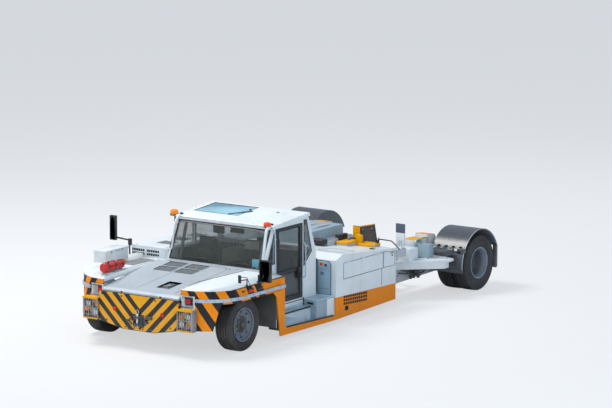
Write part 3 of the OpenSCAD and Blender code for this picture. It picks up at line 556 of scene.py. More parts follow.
def lathe(profile, centre, axis, steps=24):
    """Spins an outline of (radius, distance along the axis) points, closed where its ends lie on the axis."""
    centre = at(centre)
    turn = at(axis).to_track_quat("Z", "Y").to_matrix().to_4x4()
    matrix = Matrix.Translation(centre) @ turn
    verts = [Pen.bm.verts.new(matrix @ Vector((radius, 0.0, along))) for radius, along in profile]
    edges = [Pen.bm.edges.new(pair) for pair in zip(verts, verts[1:])]
    bmesh.ops.spin(Pen.bm, geom=verts + edges, cent=centre, axis=turn @ Vector(UP), angle=math.tau,
                   steps=steps, use_merge=True)
    bmesh.ops.remove_doubles(Pen.bm, verts=[vert for vert in Pen.bm.verts if vert.is_valid], dist=0.00002)


def cap(centre, axis, radius, height, flat, steps=24):
    """A low round cap with a slanted side: the radius of its foot, its height and the radius of its flat."""
    lathe([(0.0, height), (flat, height - 0.002), (radius, 0.0)], centre, axis, steps)


def hoop(centre, axis, radius, thickness, steps=24, sides=8):
    """A closed ring of round bar."""
    points = [(radius + thickness * math.cos(math.tau * i / sides),
               thickness * math.sin(math.tau * i / sides))
              for i in range(sides)]
    lathe(points + points[:1], centre, axis, steps)


def prism(outline, axis, low, high, edge=0.0, segments=2):
    """Extrudes an outline along X, Y or Z. The outline's points leave that axis out."""
    place = "XYZ".index(axis)
    verts = [Pen.bm.verts.new(at((*point[:place], low, *point[place:]))) for point in outline]
    face = Pen.bm.faces.new(verts)
    made = bmesh.ops.extrude_face_region(Pen.bm, geom=[face])["geom"]
    moved = [item for item in made if isinstance(item, bmesh.types.BMVert)]
    step = [0.0, 0.0, 0.0]
    step[place] = high - low
    bmesh.ops.translate(Pen.bm, verts=moved, vec=at(step))
    if edge:
        round_edges(edges_of(verts + moved), edge, segments)


def pipe(points, radius, sides=12):
    """A bent tube through the points, swept as one skin with rounded bends."""
    path = [at(point) for point in points]
    smooth = [path[0]]
    for before, here, after in zip(path, path[1:], path[2:]):
        reach = min((here - before).length, (after - here).length, radius * 6) * 0.45
        first = here + (before - here).normalized() * reach
        last = here + (after - here).normalized() * reach
        for i in range(5):
            t = i / 4
            smooth.append(first * (1 - t) ** 2 + here * 2 * t * (1 - t) + last * t * t)
    smooth.append(path[-1])
    normal = (smooth[1] - smooth[0]).orthogonal().normalized()
    ring = None
    for i, point in enumerate(smooth):
        ahead = smooth[min(i + 1, len(smooth) - 1)] - smooth[max(i - 1, 0)]
        ahead.normalize()
        normal = (normal - ahead * normal.dot(ahead)).normalized()
        turn = Matrix((normal, ahead.cross(normal), ahead)).transposed().to_4x4()
        verts = bmesh.ops.create_circle(
            Pen.bm, segments=sides, radius=radius, matrix=Matrix.Translation(point) @ turn)["verts"]
        fresh = edges_of(verts)
        if ring:
            bmesh.ops.bridge_loops(Pen.bm, edges=ring + fresh)
        else:
            Pen.bm.faces.new(verts)
        ring = fresh
    Pen.bm.faces.new(verts)


def bolt(place, facing, radius=0.012):
    """A washer with a hexagonal head on a surface."""
    place = Vector(place)
    facing = Vector(facing).normalized()
    rod(place - facing * 0.003, place + facing * 0.003, radius * 1.5, 14)
    rod(place, place + facing * radius * 0.9, radius, 6)


def bolt_row(start, end, count, facing, radius):
    """Bolts in a row from start to end."""
    for i in range(count):
        bolt(Vector(start).lerp(Vector(end), i / (count - 1)), facing, radius)


def frame_round(corners, radius, sides=6):
    """A closed frame of bar along a ring of corners."""
    ring = [Vector(corner) for corner in corners]
    for start, end in zip(ring, ring[1:] + ring[:1]):
        rod(start, end, radius, sides)
    for corner in ring:
        ball(corner, radius, 4)


def side_frame(x, y, z, radius, sides=6):
    """A closed frame between two Y and two Z values on an upright side."""
    frame_round([(x, y[0], z[0]), (x, y[1], z[0]), (x, y[1], z[1]), (x, y[0], z[1])], radius, sides)


def cushion(x, y, z, bulge, turn=None):
    """A crowned pad: a subdivided box whose large faces swell and whose corners round off."""
    centre = Vector(((x[0] + x[1]) / 2, (y[0] + y[1]) / 2, (z[0] + z[1]) / 2))
    size = Vector((x[1] - x[0], y[1] - y[0], z[1] - z[0]))
    made = bmesh.ops.create_cube(Pen.bm, size=1.0)["verts"]
    bmesh.ops.subdivide_edges(Pen.bm, edges=edges_of(made), cuts=7, use_grid_fill=True)
    for vert in [vert for vert in Pen.bm.verts if not vert.tag]:
        vert.tag = True
        place = vert.co * 2
        squares = [part ** 2 for part in place]
        rounded = Vector([place[i] * math.sqrt(
            1 - (squares[i - 1] + squares[i - 2] - squares[i - 1] * squares[i - 2]) / 3) for i in range(3)])
        local = place.lerp(rounded * 1.12, bulge) * size / 2
        if turn:
            local.rotate(turn)
        vert.co = centre + local


def finished_mesh(name):
    """Turns what was drawn into a mesh, and clears the drawing."""
    mesh = bpy.data.meshes.new(name)
    Pen.bm.to_mesh(mesh)
    Pen.bm.free()
    Pen.bm = bmesh.new()
    return mesh


def add_object(name, data):
    """Puts an object into the scene."""
    made = bpy.data.objects.new(name, data)
    bpy.context.scene.collection.objects.link(made)
    return made


# Points closer than this are one, and edges sharper than this many degrees stay sharp
SAME_POINT = 0.00005
SHARP = 35.0
PANEL_SHARP = 12.0


def piece(name, finish, body="chassis", angle=SHARP):
    """Turns what was drawn into a finished piece that rides on a body."""
    bmesh.ops.recalc_face_normals(Pen.bm, faces=Pen.bm.faces)
    mesh = finished_mesh(name)
    mesh.shade_smooth()
    mesh.set_sharp_from_angle(angle=math.radians(angle))
    mesh.materials.append(MATERIALS[finish])
    made = add_object(name, mesh)
    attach(made, body)
    return made


def dress(node, finish, edge, angle):
    """A merged copy of a CAD solid with its edges rounded, which stands for it."""
    bm = Pen.bm
    bm.from_mesh(NODES[node].data)
    bmesh.ops.remove_doubles(bm, verts=bm.verts, dist=SAME_POINT)
    if edge:
        bmesh.ops.dissolve_limit(bm, angle_limit=math.radians(0.5), verts=bm.verts, edges=bm.edges)
        inner = [item for item in bm.edges if item.is_manifold]
        round_edges([item for item in inner if item.calc_face_angle(0.0) > math.radians(SHARP)], edge)
    record = frame["record"]
    body = next(name for name, nodes in record["behaviour"]["bodies"].items() if node in nodes)
    made = piece(node + "_skin", finish, body, angle)
    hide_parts(node)


# Stage
FLOOR_SIZE = 90.0
FLOOR_GLOW = (0.93, 0.94, 0.95, 1.0)
GLOW_SHARE = 0.62
SKY = (0.34, 0.43, 0.56, 1.0)
BACKDROP = (0.86, 0.88, 0.9, 1.0)
SKY_STRENGTH = 0.85


def make_floor():
    """A floor that looks pale to the camera and keeps the tractor's shadow."""
    colours = settings()[1]
    bmesh.ops.create_grid(Pen.bm, x_segments=1, y_segments=1, size=FLOOR_SIZE)
    floor = add_object("floor", finished_mesh("floor"))
    finish = Finish("floor_finish")
    grain = finish.noise(1.5, 4.0)
    finish.set(Base_Color=finish.mix(grain, colours.floor, shade(colours.floor, 0.96)))
    finish.set(Roughness=0.9, Specular_IOR_Level=0.1)
    path = finish.node("ShaderNodeLightPath").outputs
    glow = finish.node("ShaderNodeEmission")
    glow.inputs["Color"].default_value = FLOOR_GLOW
    glow.inputs["Strength"].default_value = 1.0
    blend = finish.node("ShaderNodeMixShader")
    seen = finish.calc("MAXIMUM", path["Is Camera Ray"], path["Is Transmission Ray"]) * GLOW_SHARE
    for socket, value in zip(blend.inputs, (seen, finish.shader.outputs[0], glow.outputs[0])):
        finish.put(socket, value)
    finish.put(finish.tree.nodes["Material Output"].inputs["Surface"], blend.outputs[0])
    floor.data.materials.append(finish.material)


# Lights: name, direction they come from, size, strength and colour
LIGHTS = [
    ("key_light", (-0.42, -0.2, 1.0), 7.0, 2500.0, (1.0, 0.97, 0.92)),
    ("fill_light", (0.85, -0.6, 0.42), 14.0, 840.0, (0.9, 0.98, 1.0)),
    ("front_light", (-0.15, -1.0, 0.3), 12.0, 500.0, (1.0, 0.98, 0.95)),
    ("back_light", (0.1, 0.9, 0.8), 16.0, 420.0, (0.9, 0.95, 1.0)),
]
LIGHT_DISTANCE = 17.0


def make_lights(scene):
    """Soft lights round the tractor and an even bluish sky."""
    for name, direction, size, power, colour in LIGHTS:
        light = bpy.data.lights.new(name, "AREA")
        light.size = size
        light.energy = power
        light.color = colour
        made = add_object(name, light)
        made.location = Vector(direction).normalized() * LIGHT_DISTANCE
        made.rotation_euler = made.location.to_track_quat("Z", "Y").to_euler()
    scene.world = bpy.data.worlds.new("studio")
    scene.world.use_nodes = True
    tree = scene.world.node_tree
    path = tree.nodes.new("ShaderNodeLightPath")
    seen = tree.nodes.new("ShaderNodeMath")
    seen.operation = "MAXIMUM"
    tree.links.new(path.outputs["Is Camera Ray"], seen.inputs[0])
    tree.links.new(path.outputs["Is Transmission Ray"], seen.inputs[1])
    blend = tree.nodes.new("ShaderNodeMix")
    blend.data_type = "RGBA"
    tree.links.new(seen.outputs[0], blend.inputs["Factor"])
    blend.inputs[6].default_value = SKY
    blend.inputs[7].default_value = BACKDROP
    tree.links.new(blend.outputs[2], tree.nodes["Background"].inputs["Color"])
    tree.nodes["Background"].inputs["Strength"].default_value = SKY_STRENGTH
    scene.view_settings.view_transform = "Standard"


# The photograph's camera, in metres and degrees
CAMERA_AT = (35.114, -50.457, 12.651)
CAMERA_AIM = (-2.63, 4.77, 1.0)
CAMERA_ROLL = 0.08
CAMERA_LENS = 204.0
SENSOR_WIDTH = 36.0
VIEW_END = 400.0


def make_camera(scene):
    """The photograph's viewpoint."""
    data = bpy.data.cameras.new("camera")
    data.lens = CAMERA_LENS
    data.sensor_width = SENSOR_WIDTH
    data.clip_end = VIEW_END
    camera = add_object("camera", data)
    camera.location = CAMERA_AT
    look = (Vector(CAMERA_AIM) - Vector(CAMERA_AT)).to_track_quat("-Z", "Y").to_matrix().to_4x4()
    turn = look @ Matrix.Rotation(math.radians(CAMERA_ROLL), 4, "Z")
    camera.rotation_euler = turn.to_euler()
    scene.camera = camera


# CAD solids shown as merged copies: the finish of each
SKINS = {
    "hood": "hood_paint", "left_pod": "fender_paint", "right_pod": "fender_paint", "rub_rails": "rail",
    "lamp_guards": "galvanised", "front_plate": "chevrons", "tow_hitch": "dark_metal",
    "toolbox": "white", "toolbox_lid": "white", "right_body": "white", "engine_cover": "white",
    "cab_shell": "white", "cab_roof": "roof_white", "cab_door": "black_plastic", "skirts": "orange",
    "left_body": "white", "service_door": "white", "rear_arms": "white", "rear_fenders": "fender_grey",
    "deck_fittings": "deck_paint", "hold_down": "rubber_pad", "entry_steps": "step_blue",
    "rear_frame": "frame_paint", "rear_covers": "white", "main_frame": "frame_paint",
    "cradle": "cradle_paint", "front_axle": "dark_metal", "left_knuckle": "dark_metal",
    "right_knuckle": "dark_metal", "tie_rod": "dark_metal", "front_left_rim": "front_rim",
    "front_right_rim": "front_rim", "rear_left_rims": "rear_rim", "rear_right_rims": "rear_rim",
    "left_gate": "yellow", "right_gate": "yellow", "lift_barrels": "cradle_paint",
    "lift_rods": "steel_rod", "engine": "dark_metal", "mirrors": "black_plastic",
    "steering_wheel": "black_plastic", "dashboard": "grey_plastic", "cab_glass": "glass",
    "door_glass": "glass",
}

# Radius of the rounded edges of those that get them
SKIN_EDGES = {
    "rub_rails": 0.006, "toolbox": 0.004, "toolbox_lid": 0.006, "skirts": 0.003, "rear_arms": 0.006,
    "rear_covers": 0.006, "engine": 0.003, "dashboard": 0.006,
}

# Sheet metal with shallow bends that stay crisp
PANELS = [
    "left_body", "service_door", "right_body", "engine_cover", "cab_shell", "cab_door", "skirts",
    "front_plate", "hood", "main_frame", "rear_frame", "deck_fittings", "cab_roof",
]


def make_skins():
    """Finishes of the solids that keep their own shape."""
    for node, finish in SKINS.items():
        dress(node, finish, SKIN_EDGES.get(node, 0.0), angle=PANEL_SHARP if node in PANELS else SHARP)


# Gap between the two tyres of a rear pair
TWIN_GAP = 0.037


def tyre_rows():
    """Places of the tyres from the CAD boxes: node, body, middles on X, width, radius and axle Y."""
    rows = []
    for side in ("left", "right"):
        for end, tyre, wheel, axle_y in (("front_", "_tyre", "_wheel", FRONT_AXLE_Y),
                                         ("rear_", "_tyres", "_wheels", REAR_AXLE_Y)):
            low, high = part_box(end + side + tyre)
            width = high.x - low.x
            middles = [(low.x + high.x) / 2]
            if end == "rear_":
                width = (width - TWIN_GAP) / 2
                middles = [low.x + width / 2, high.x - width / 2]
            rows.append((end + side + tyre, end + side + wheel, middles, width,
                         (high.z - low.z) / 2, axle_y))
    return rows


# Radius of the tyres' inner edge, and the tread and its round grooves as shares of the half width
RIM_R = 0.298
TREAD_SHARE = 0.84
GROOVES = (-0.56, -0.19, 0.19, 0.56)


def tyre_outline(radius, width, groove):
    """Section of a tyre as radius and side, with ribs between round grooves."""
    half = width / 2
    side = [(RIM_R - 0.008, 0.82 * half), (RIM_R + 0.012, 0.9 * half), (RIM_R + 0.02, 0.93 * half),
            (RIM_R + 0.06, 0.99 * half), (RIM_R + 0.1, half), (radius - 0.06, 0.985 * half),
            (radius - 0.03, 0.96 * half), (radius - 0.012, 0.93 * half),
            (radius - 0.004, TREAD_SHARE * half)]
    right = [(r, -s) for r, s in side]
    cuts = []
    for place in GROOVES:
        middle = place * half
        crown = radius - 0.003 * abs(place)
        cuts += [(crown, middle - 0.007), (crown - groove, middle - 0.005),
                 (crown - groove, middle + 0.005), (crown, middle + 0.007)]
    return right + cuts + side[::-1]


def make_tyres():
    """Tyres with ribs, grooves and shoulder blocks."""
    sizes = settings()[0]
    for node, body, middles, width, radius, axle_y in tyre_rows():
        for middle in middles:
            outline = tyre_outline(radius, width, sizes.tread_depth)
            lathe(outline, (middle, axle_y, radius), SIDEWAYS, sizes.tread_blocks * 2)
        cut_blocks(radius, width, middles, axle_y, sizes)
        made = piece(node + "_tread", "tyre", body=body, angle=28.0)
        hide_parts(node)


def cut_blocks(radius, width, middles, axle_y, sizes):
    """Presses a cross groove into every fourth face of the two outer ribs."""
    step = math.tau / sizes.tread_blocks / 2
    chosen = []
    for face in Pen.bm.faces:
        centre = face.calc_center_median()
        across = min(abs(centre.x - middle) for middle in middles)
        out = math.hypot(centre.y - axle_y, centre.z - radius)
        if out > radius - 0.011 and across > width * 0.29:
            angle = math.atan2(centre.z - radius, centre.y - axle_y)
            if int((angle + math.pi) / step + 0.001) % 4 == 0:
                chosen.append(face)
    bmesh.ops.recalc_face_normals(Pen.bm, faces=Pen.bm.faces)
    bmesh.ops.inset_individual(Pen.bm, faces=chosen, thickness=0.002, depth=-sizes.tread_depth * 0.7)


# Wheels: body, side, axle Y, axle height, face of the disc, end of the hub, radius of the hub
WHEELS = [
    ("front_left_wheel", 1, FRONT_AXLE_Y, FRONT_AXLE_Z, 1.47, 1.526, 0.062),
    ("front_right_wheel", -1, FRONT_AXLE_Y, FRONT_AXLE_Z, 1.47, 1.526, 0.062),
    ("rear_left_wheels", 1, REAR_AXLE_Y, REAR_AXLE_Z, 1.762, 1.868, 0.095),
    ("rear_right_wheels", -1, REAR_AXLE_Y, REAR_AXLE_Z, 1.762, 1.868, 0.095),
]
NUTS = 10
HUB_BOLTS = 8


def make_wheel_trim():
    """Nuts, hub caps, valves and rim beads of the wheels."""
    circle = settings()[0].nut_circle
    for body, Pen.side, axle_y, axle_z, disc, end, radius in WHEELS:
        for i in range(NUTS):
            turn = math.tau * (i + 0.5) / NUTS
            y = axle_y + circle * math.cos(turn)
            z = axle_z + circle * math.sin(turn)
            for height, nut_radius, sides in ((0.006, 0.022, 14), (0.026, 0.016, 6), (0.038, 0.008, 8)):
                rod((disc, y, z), (disc + height, y, z), nut_radius, sides)
        # valve
        rod((disc, axle_y + 0.245, axle_z), (disc + 0.05, axle_y + 0.232, axle_z), 0.005, 8)
        piece(body + "_nuts", "galvanised", body=body)
        lip = radius * 1.02
        cap = [(0.0, 0.016), (radius * 0.7, 0.014), (radius * 0.93, 0.006), (lip, -0.008), (lip, -0.05)]
        lathe(cap, (end, axle_y, axle_z), SIDEWAYS, 32)
        lathe([(lip, 0.0), (radius + 0.045, 0.003), (radius + 0.05, 0.012), (lip, 0.016)],
              (disc, axle_y, axle_z), SIDEWAYS, 32)
        for i in range(HUB_BOLTS):
            turn = math.tau * i / HUB_BOLTS
            y = axle_y + radius * 0.72 * math.cos(turn)
            z = axle_z + radius * 0.72 * math.sin(turn)
            rod((end + 0.008, y, z), (end + 0.019, y, z), 0.007, 6)
        piece(body + "_hub", "dark_metal", body=body)
        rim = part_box(body.replace("wheel", "rim"))
        hoop((max(abs(corner.x) for corner in rim) - 0.006, axle_y, axle_z), SIDEWAYS, 0.288, 0.006, 48)
        piece(body + "_bead", "rim_blue", body=body)
    Pen.side = 1


# Front of the machine
PLATE_Y = -4.15
CAGE_X = (0.842, 1.17)


def make_head_lamps():
    """Head lamps, indicators, corner lamps and side markers, which stand for the lamps' solids."""
    for _ in both():
        for x, z, radius in ((0.93, 0.56, 0.058), (1.065, 0.7, 0.053)):
            bowl = [(0.0, -0.012), (radius * 0.5, -0.006), (radius * 0.9, 0.02), (radius, 0.032),
                    (radius, 0.04), (radius * 0.92, 0.042), (radius * 0.88, 0.03)]
            lathe(bowl, (x, PLATE_Y + 0.01, z), FORWARD, 32)
    lamps = piece("head_lamps", "mirror")
    for _ in both():
        for x, z, radius in ((0.93, 0.56, 0.052), (1.065, 0.7, 0.047)):
            lathe([(0.0, 0.04), (radius * 0.6, 0.037), (radius, 0.028)],
                  (x, PLATE_Y + 0.012, z), FORWARD, 32)
    glass = piece("lamp_glasses", "pale_lens")
    for _ in both():
        block((1.075, 1.135), (PLATE_Y - 0.03, PLATE_Y - 0.002), (0.565, 0.655), 0.008)
        block((0.87, 0.92), (PLATE_Y - 0.026, PLATE_Y - 0.002), (0.665, 0.72), 0.008)
    indicators = piece("indicators", "amber_lens")
    for _ in both():
        block((0.893, 0.985), (-4.006, -3.975), (0.885, 0.965), 0.01, 3)
        block((SIDE_X + 0.002, SIDE_X + 0.02), (-3.17, -3.03), (1.02, 1.072), 0.006)
    red = piece("corner_lamps", "red_lens")
    for _ in both():
        block((0.87, 1.0), (-3.982, -3.942), (0.862, 0.988), 0.008)
        block((SIDE_X + 0.0005, SIDE_X + 0.01), (-3.18, -3.02), (1.008, 1.084))
        block((SIDE_X + 0.0005, SIDE_X + 0.008), (-2.9, -2.74), (1.02, 1.062))
        block((SIDE_X - 0.001, SIDE_X + 0.007), (-3.36, -3.27), (1.05, 1.08))
    dark = piece("lamp_housings", "black_plastic")
    for made in (lamps, glass, indicators, red, dark):
        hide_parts("lamps")


def make_front_trim():
    """Reflectors, yellow strips, bolts and the cages' outer frames."""
    # the reflectors take the red lens with its faint glow: a painted glow, as they are no lamps
    for x in (-0.508, 0.508):
        lathe([(0.0, 0.012), (0.028, 0.012), (0.038, 0.006), (0.038, -0.002)], (x, PLATE_Y, 0.667), FORWARD)
    piece("front_reflectors", "red_lens")
    for _ in both():
        block((CAGE_X[0], CAGE_X[1]), (-4.202, -4.1955), (0.79, 0.822), 0.002)
        block((CAGE_X[0] + 0.01, CAGE_X[1] - 0.02), (-4.19, -4.07), (0.8185, 0.823), 0.001)
        block((CAGE_X[0], 1.16), (-4.202, -4.1955), (0.44, 0.466), 0.002)
    piece("reflective_strips", "yellow")
    for _ in both():
        pipe([(1.155, -4.185, 0.45), (1.155, -4.185, 0.8)], 0.013)
        pipe([(0.85, -4.185, 0.45), (0.85, -4.185, 0.8)], 0.009)
        for z in (0.515, 0.745):
            pipe([(0.856, -4.188, z), (1.14, -4.188, z)], 0.006)
        for x in (0.903, 0.997, 1.092):
            pipe([(x, -4.188, 0.455), (x, -4.188, 0.8)], 0.006)
        bolt_row((0.88, -4.17, 0.8195), (1.13, -4.17, 0.8195), 3, UP, 0.009)
        block((1.142, 1.168), (-4.18, -4.06), (0.44, 0.8), 0.004)
    piece("guard_frames", "galvanised")
    for x in (-0.78, -0.36, 0.36, 0.78):
        bolt((x, PLATE_Y, 0.9), FORWARD, 0.011)
    for x in (-0.68, 0.68):
        bolt((x, PLATE_Y, 0.46), FORWARD, 0.011)
    bolt_row((-0.28, PLATE_Y, 0.375), (0.28, PLATE_Y, 0.375), 4, FORWARD, 0.01)
    piece("plate_bolts", "dark_metal")
    # bead along the lower edge of the plate
    pipe([(-0.84, -4.14, 0.436), (-0.33, -4.14, 0.337), (0.33, -4.14, 0.337), (0.84, -4.14, 0.436)], 0.008)
    piece("plate_bead", "black_plastic")


def make_jaw_pin():
    """Pin with a ring through the jaw, its spring clip and the jaw's cheeks."""
    rod((0, -4.18, 0.405), (0, -4.18, 0.625), 0.02, 24, edge=0.003)
    lathe([(0.0, 0.02), (0.03, 0.016), (0.036, 0.0), (0.022, -0.004)], (0, -4.18, 0.625), UP)
    hoop((0, -4.18, 0.672), BACKWARD, 0.032, 0.005)
    pipe([(0.024, -4.18, 0.417), (0.06, -4.19, 0.412), (0.06, -4.21, 0.412),
          (0.0, -4.215, 0.415)], 0.0025, 8)
    piece("jaw_pin", "steel_rod")
    for _ in both():
        prism([(-4.15, 0.41), (-4.19, 0.43), (-4.19, 0.455), (-4.15, 0.6)], "X", 0.078, 0.092, 0.002)
        pipe([(0.14, -4.15, 0.56), (0.16, -4.19, 0.54), (0.16, -4.19, 0.47), (0.14, -4.15, 0.44)], 0.011)
        bolt((0.095, -4.152, 0.585), FORWARD)
        bolt((0.095, -4.152, 0.435), FORWARD)
        # air and hydraulic couplings beside the jaw
        rod((0.2, -4.15, 0.5), (0.2, -4.19, 0.5), 0.018, 20, edge=0.002)
        rod((0.2, -4.185, 0.5), (0.2, -4.197, 0.5), 0.024, 20, edge=0.002)
    block((0.17, 0.3), (-4.195, -4.15), (0.56, 0.62), 0.006)
    piece("jaw_cheeks", "dark_metal")


# Hood trim: cooling patches as X from and Y from, and the latch tray
PATCHES = [(-0.62, -2.88), (-0.62, -2.59), (-0.16, -2.88), (-0.16, -2.59)]
PATCH_SIZE = (0.37, 0.224)
LATCH_X = (0.09, 0.37)
LATCH_Y = (-3.76, -3.37)


# Top skin of the hood: Y and height of its front edge, and its rise for each metre
HOOD_FRONT_Y = -4.05
HOOD_FRONT_Z = 1.01
HOOD_RISE = 0.19 / 1.77


def hood_height(y):
    """Height of the hood's top skin."""
    return HOOD_FRONT_Z + (y - HOOD_FRONT_Y) * HOOD_RISE


def hood_slab(x, y, base, thick, edge=0.0):
    """A slab along the hood's slope between two X and two Y values, its base measured from the skin."""
    low = hood_height(y[0]) + base
    high = hood_height(y[1]) + base
    prism([(y[0], low), (y[1], high), (y[1], high + thick), (y[0], low + thick)], "X", *x, edge)


def make_hood_trim():
    """Grilles, latch, ribs and bolts of the hood."""
    # near-black plates under the cooling meshes and in the latch tray: painted shade in the recesses
    for x, y in PATCHES:
        low = hood_height(y) - 0.03
        high = hood_height(y + PATCH_SIZE[1]) - 0.03
        prism([(y - 0.01, low), (y + PATCH_SIZE[1] + 0.01, high), (y + PATCH_SIZE[1] + 0.01, high + 0.004),
               (y - 0.01, low + 0.004)], "X", x - 0.01, x + PATCH_SIZE[0] + 0.01)
    hood_slab(LATCH_X, LATCH_Y, -0.045, 0.005)
    for x, wall in zip(LATCH_X, (0.002, -0.002)):
        hood_slab((x, x + wall), LATCH_Y, -0.045, 0.046)
    for y in LATCH_Y:
        z = hood_height(y)
        block(LATCH_X, (y, y + 0.002), (z - 0.045, z), 0.0)
    piece("hood_recesses", "gap_shade_and_black", body="hood")
    for x, y in PATCHES:
        hood_slab((x, x + PATCH_SIZE[0]), (y, y + PATCH_SIZE[1]), 0.0, 0.003)
    piece("hood_meshes", "mesh_grey", body="hood")
    for x, y in PATCHES:
        for i in range(1, 5):
            middle = y + i * 0.05 - 0.014
            z = hood_height(middle)
            prism([(middle - 0.002, z + 0.002), (middle, z + 0.007), (middle + 0.006, z + 0.002)], "X", x,
                  x + PATCH_SIZE[0])
        for edge_x in (x - 0.008, x + PATCH_SIZE[0]):
            hood_slab((edge_x, edge_x + 0.008), (y, y + PATCH_SIZE[1]), 0.0, 0.006, 0.001)
    # stiffening ribs
    for x in (-0.215, 0.6):
        prism([(-3.95, hood_height(-3.95)), (-2.35, hood_height(-2.35)),
               (-2.36, hood_height(-2.36) + 0.005), (-3.94, hood_height(-3.94) + 0.005)], "X", x, x + 0.012)
    piece("hood_louvres", "hood_paint", body="hood")
    hood_slab((LATCH_X[0] + 0.03, LATCH_X[1] - 0.03), (LATCH_Y[0] + 0.06, LATCH_Y[1] - 0.05),
              -0.03, 0.01, 0.002)
    piece("hood_latch_floor", "mesh_grey", body="hood")
    for x, y in PATCHES:
        y1 = y + PATCH_SIZE[1]
        x1 = x + PATCH_SIZE[0]
        z = hood_height(y) + 0.003
        z1 = hood_height(y1) + 0.003
        rod((x - 0.004, y, z), (x - 0.004, y1, z1), 0.0075, 8)
        rod((x, y1, z1), (x1, y1, z1), 0.0075, 8)
    piece("hood_mesh_frames", "gasket", body="hood")
    middle = sum(LATCH_X) / 2
    y = sum(LATCH_Y) / 2
    z = hood_height(y)
    block((middle - 0.05, middle + 0.05), (y - 0.06, y + 0.12), (z - 0.04, z + 0.004), 0.008)
    pipe([(middle - 0.045, y - 0.14, z - 0.045), (middle - 0.045, y - 0.12, z - 0.002),
          (middle + 0.045, y - 0.12, z - 0.002), (middle + 0.045, y - 0.14, z - 0.045)], 0.008)
    cap((middle, y + 0.03, z + 0.003), UP, 0.026, 0.012, 0.02, 20)
    piece("hood_latch", "galvanised", body="hood")
    for x in (-0.39, 0.44):
        bolt((x, -4.11, 0.96), FORWARD, 0.014)
    for x in (-0.6, 0.0, 0.6):
        for step in (-0.04, 0.04):
            bolt((x + step, -2.36, hood_height(-2.36)), (0, -0.1, 1), 0.008)
    piece("hood_bolts", "dark_metal", body="hood")


# Edge of the front wheel arch as Y and Z
ARCH = [(-3.874, 0.441), (-3.846, 0.587), (-3.8, 0.79), (-3.761, 0.9), (-2.42, 0.9), (-2.315, 0.806),
        (-2.255, 0.391)]


def make_front_fenders():
    """Arch lips, niche frames, rail bolts, seams and the grip mat, and dark sheets of painted shade in the
    wheel wells.
    """
    for _ in both():
        points = [(SIDE_X - 0.012, ARCH[4][0], ARCH[4][1])]
        for i in range(7):
            ahead = (CORNER_Y - ARCH[3][0]) * i / 6
            x = CORNER_X + math.sqrt(CORNER_R ** 2 - ahead ** 2) - 0.012
            points.append((x, CORNER_Y - ahead, ARCH[3][1]))
        pipe(points, 0.009)
        # corner lamp's niche
        for z in (0.84, 1.01):
            block((0.856, 1.078), (-4.056, -4.048), (z - 0.006, z + 0.006), 0.002)
    piece("fender_lips", "black_plastic")
    for _ in both():
        for i in range(7):
            turn = math.radians(8 + i * 12)
            x = CORNER_X + (CORNER_R + 0.022) * math.sin(turn)
            y = CORNER_Y - (CORNER_R + 0.022) * math.cos(turn)
            if x > 1.14:
                rod((x, y, 0.965), (x + 0.006 * math.sin(turn), y - 0.006 * math.cos(turn), 0.965), 0.012,
                    12)
        for i in range(6):
            y = CORNER_Y + 0.1 + i * 0.2
            rod((SIDE_X + 0.022, y, 0.965), (SIDE_X + 0.028, y, 0.965), 0.012, 12)
    piece("rail_bolts", "galvanised")
    # seams between the fender top and its inner strip
    for side in both():
        pipe([(0.845, -4.02, 1.135), (0.855, -3.9, 1.166), (0.88, -3.6, 1.181 if side < 0 else 1.201),
              (0.955, -2.4, 1.181 if side < 0 else 1.201)], 0.004, 8)
    piece("fender_seams", "gasket")
    block((-1.3, -0.99), (-2.98, -2.36), (1.1805, 1.186), 0.002)
    piece("grip_mat", "grip_mat")
    # dark sheets in the wheel wells and behind the front wheel: painted shade
    for _ in both():
        block((0.934, 1.578), (-2.304, -2.3002), (0.253, 0.95), 0.001)
        block((0.9302, 0.933), (-3.9, -2.304), (0.54, 0.945), 0.001)
        for x in (1.1, 1.35):
            for z in (0.35, 0.62, 0.86):
                bolt((x, -2.304, z), FORWARD)
    block((1.29, 1.583), (-2.104, -2.1002), (0.165, 0.895), 0.001)
    block((1.5782, 1.5835), (-2.3, -2.105), (0.4, 0.894), 0.001)
    piece("well_shade_sheets", "well_shade")


# Two bottles end to end beside the hood: start, direction and sizes
BOTTLE_AT = (-0.938, -3.92, 1.2803)
BOTTLE_TURN = math.radians(4.5)


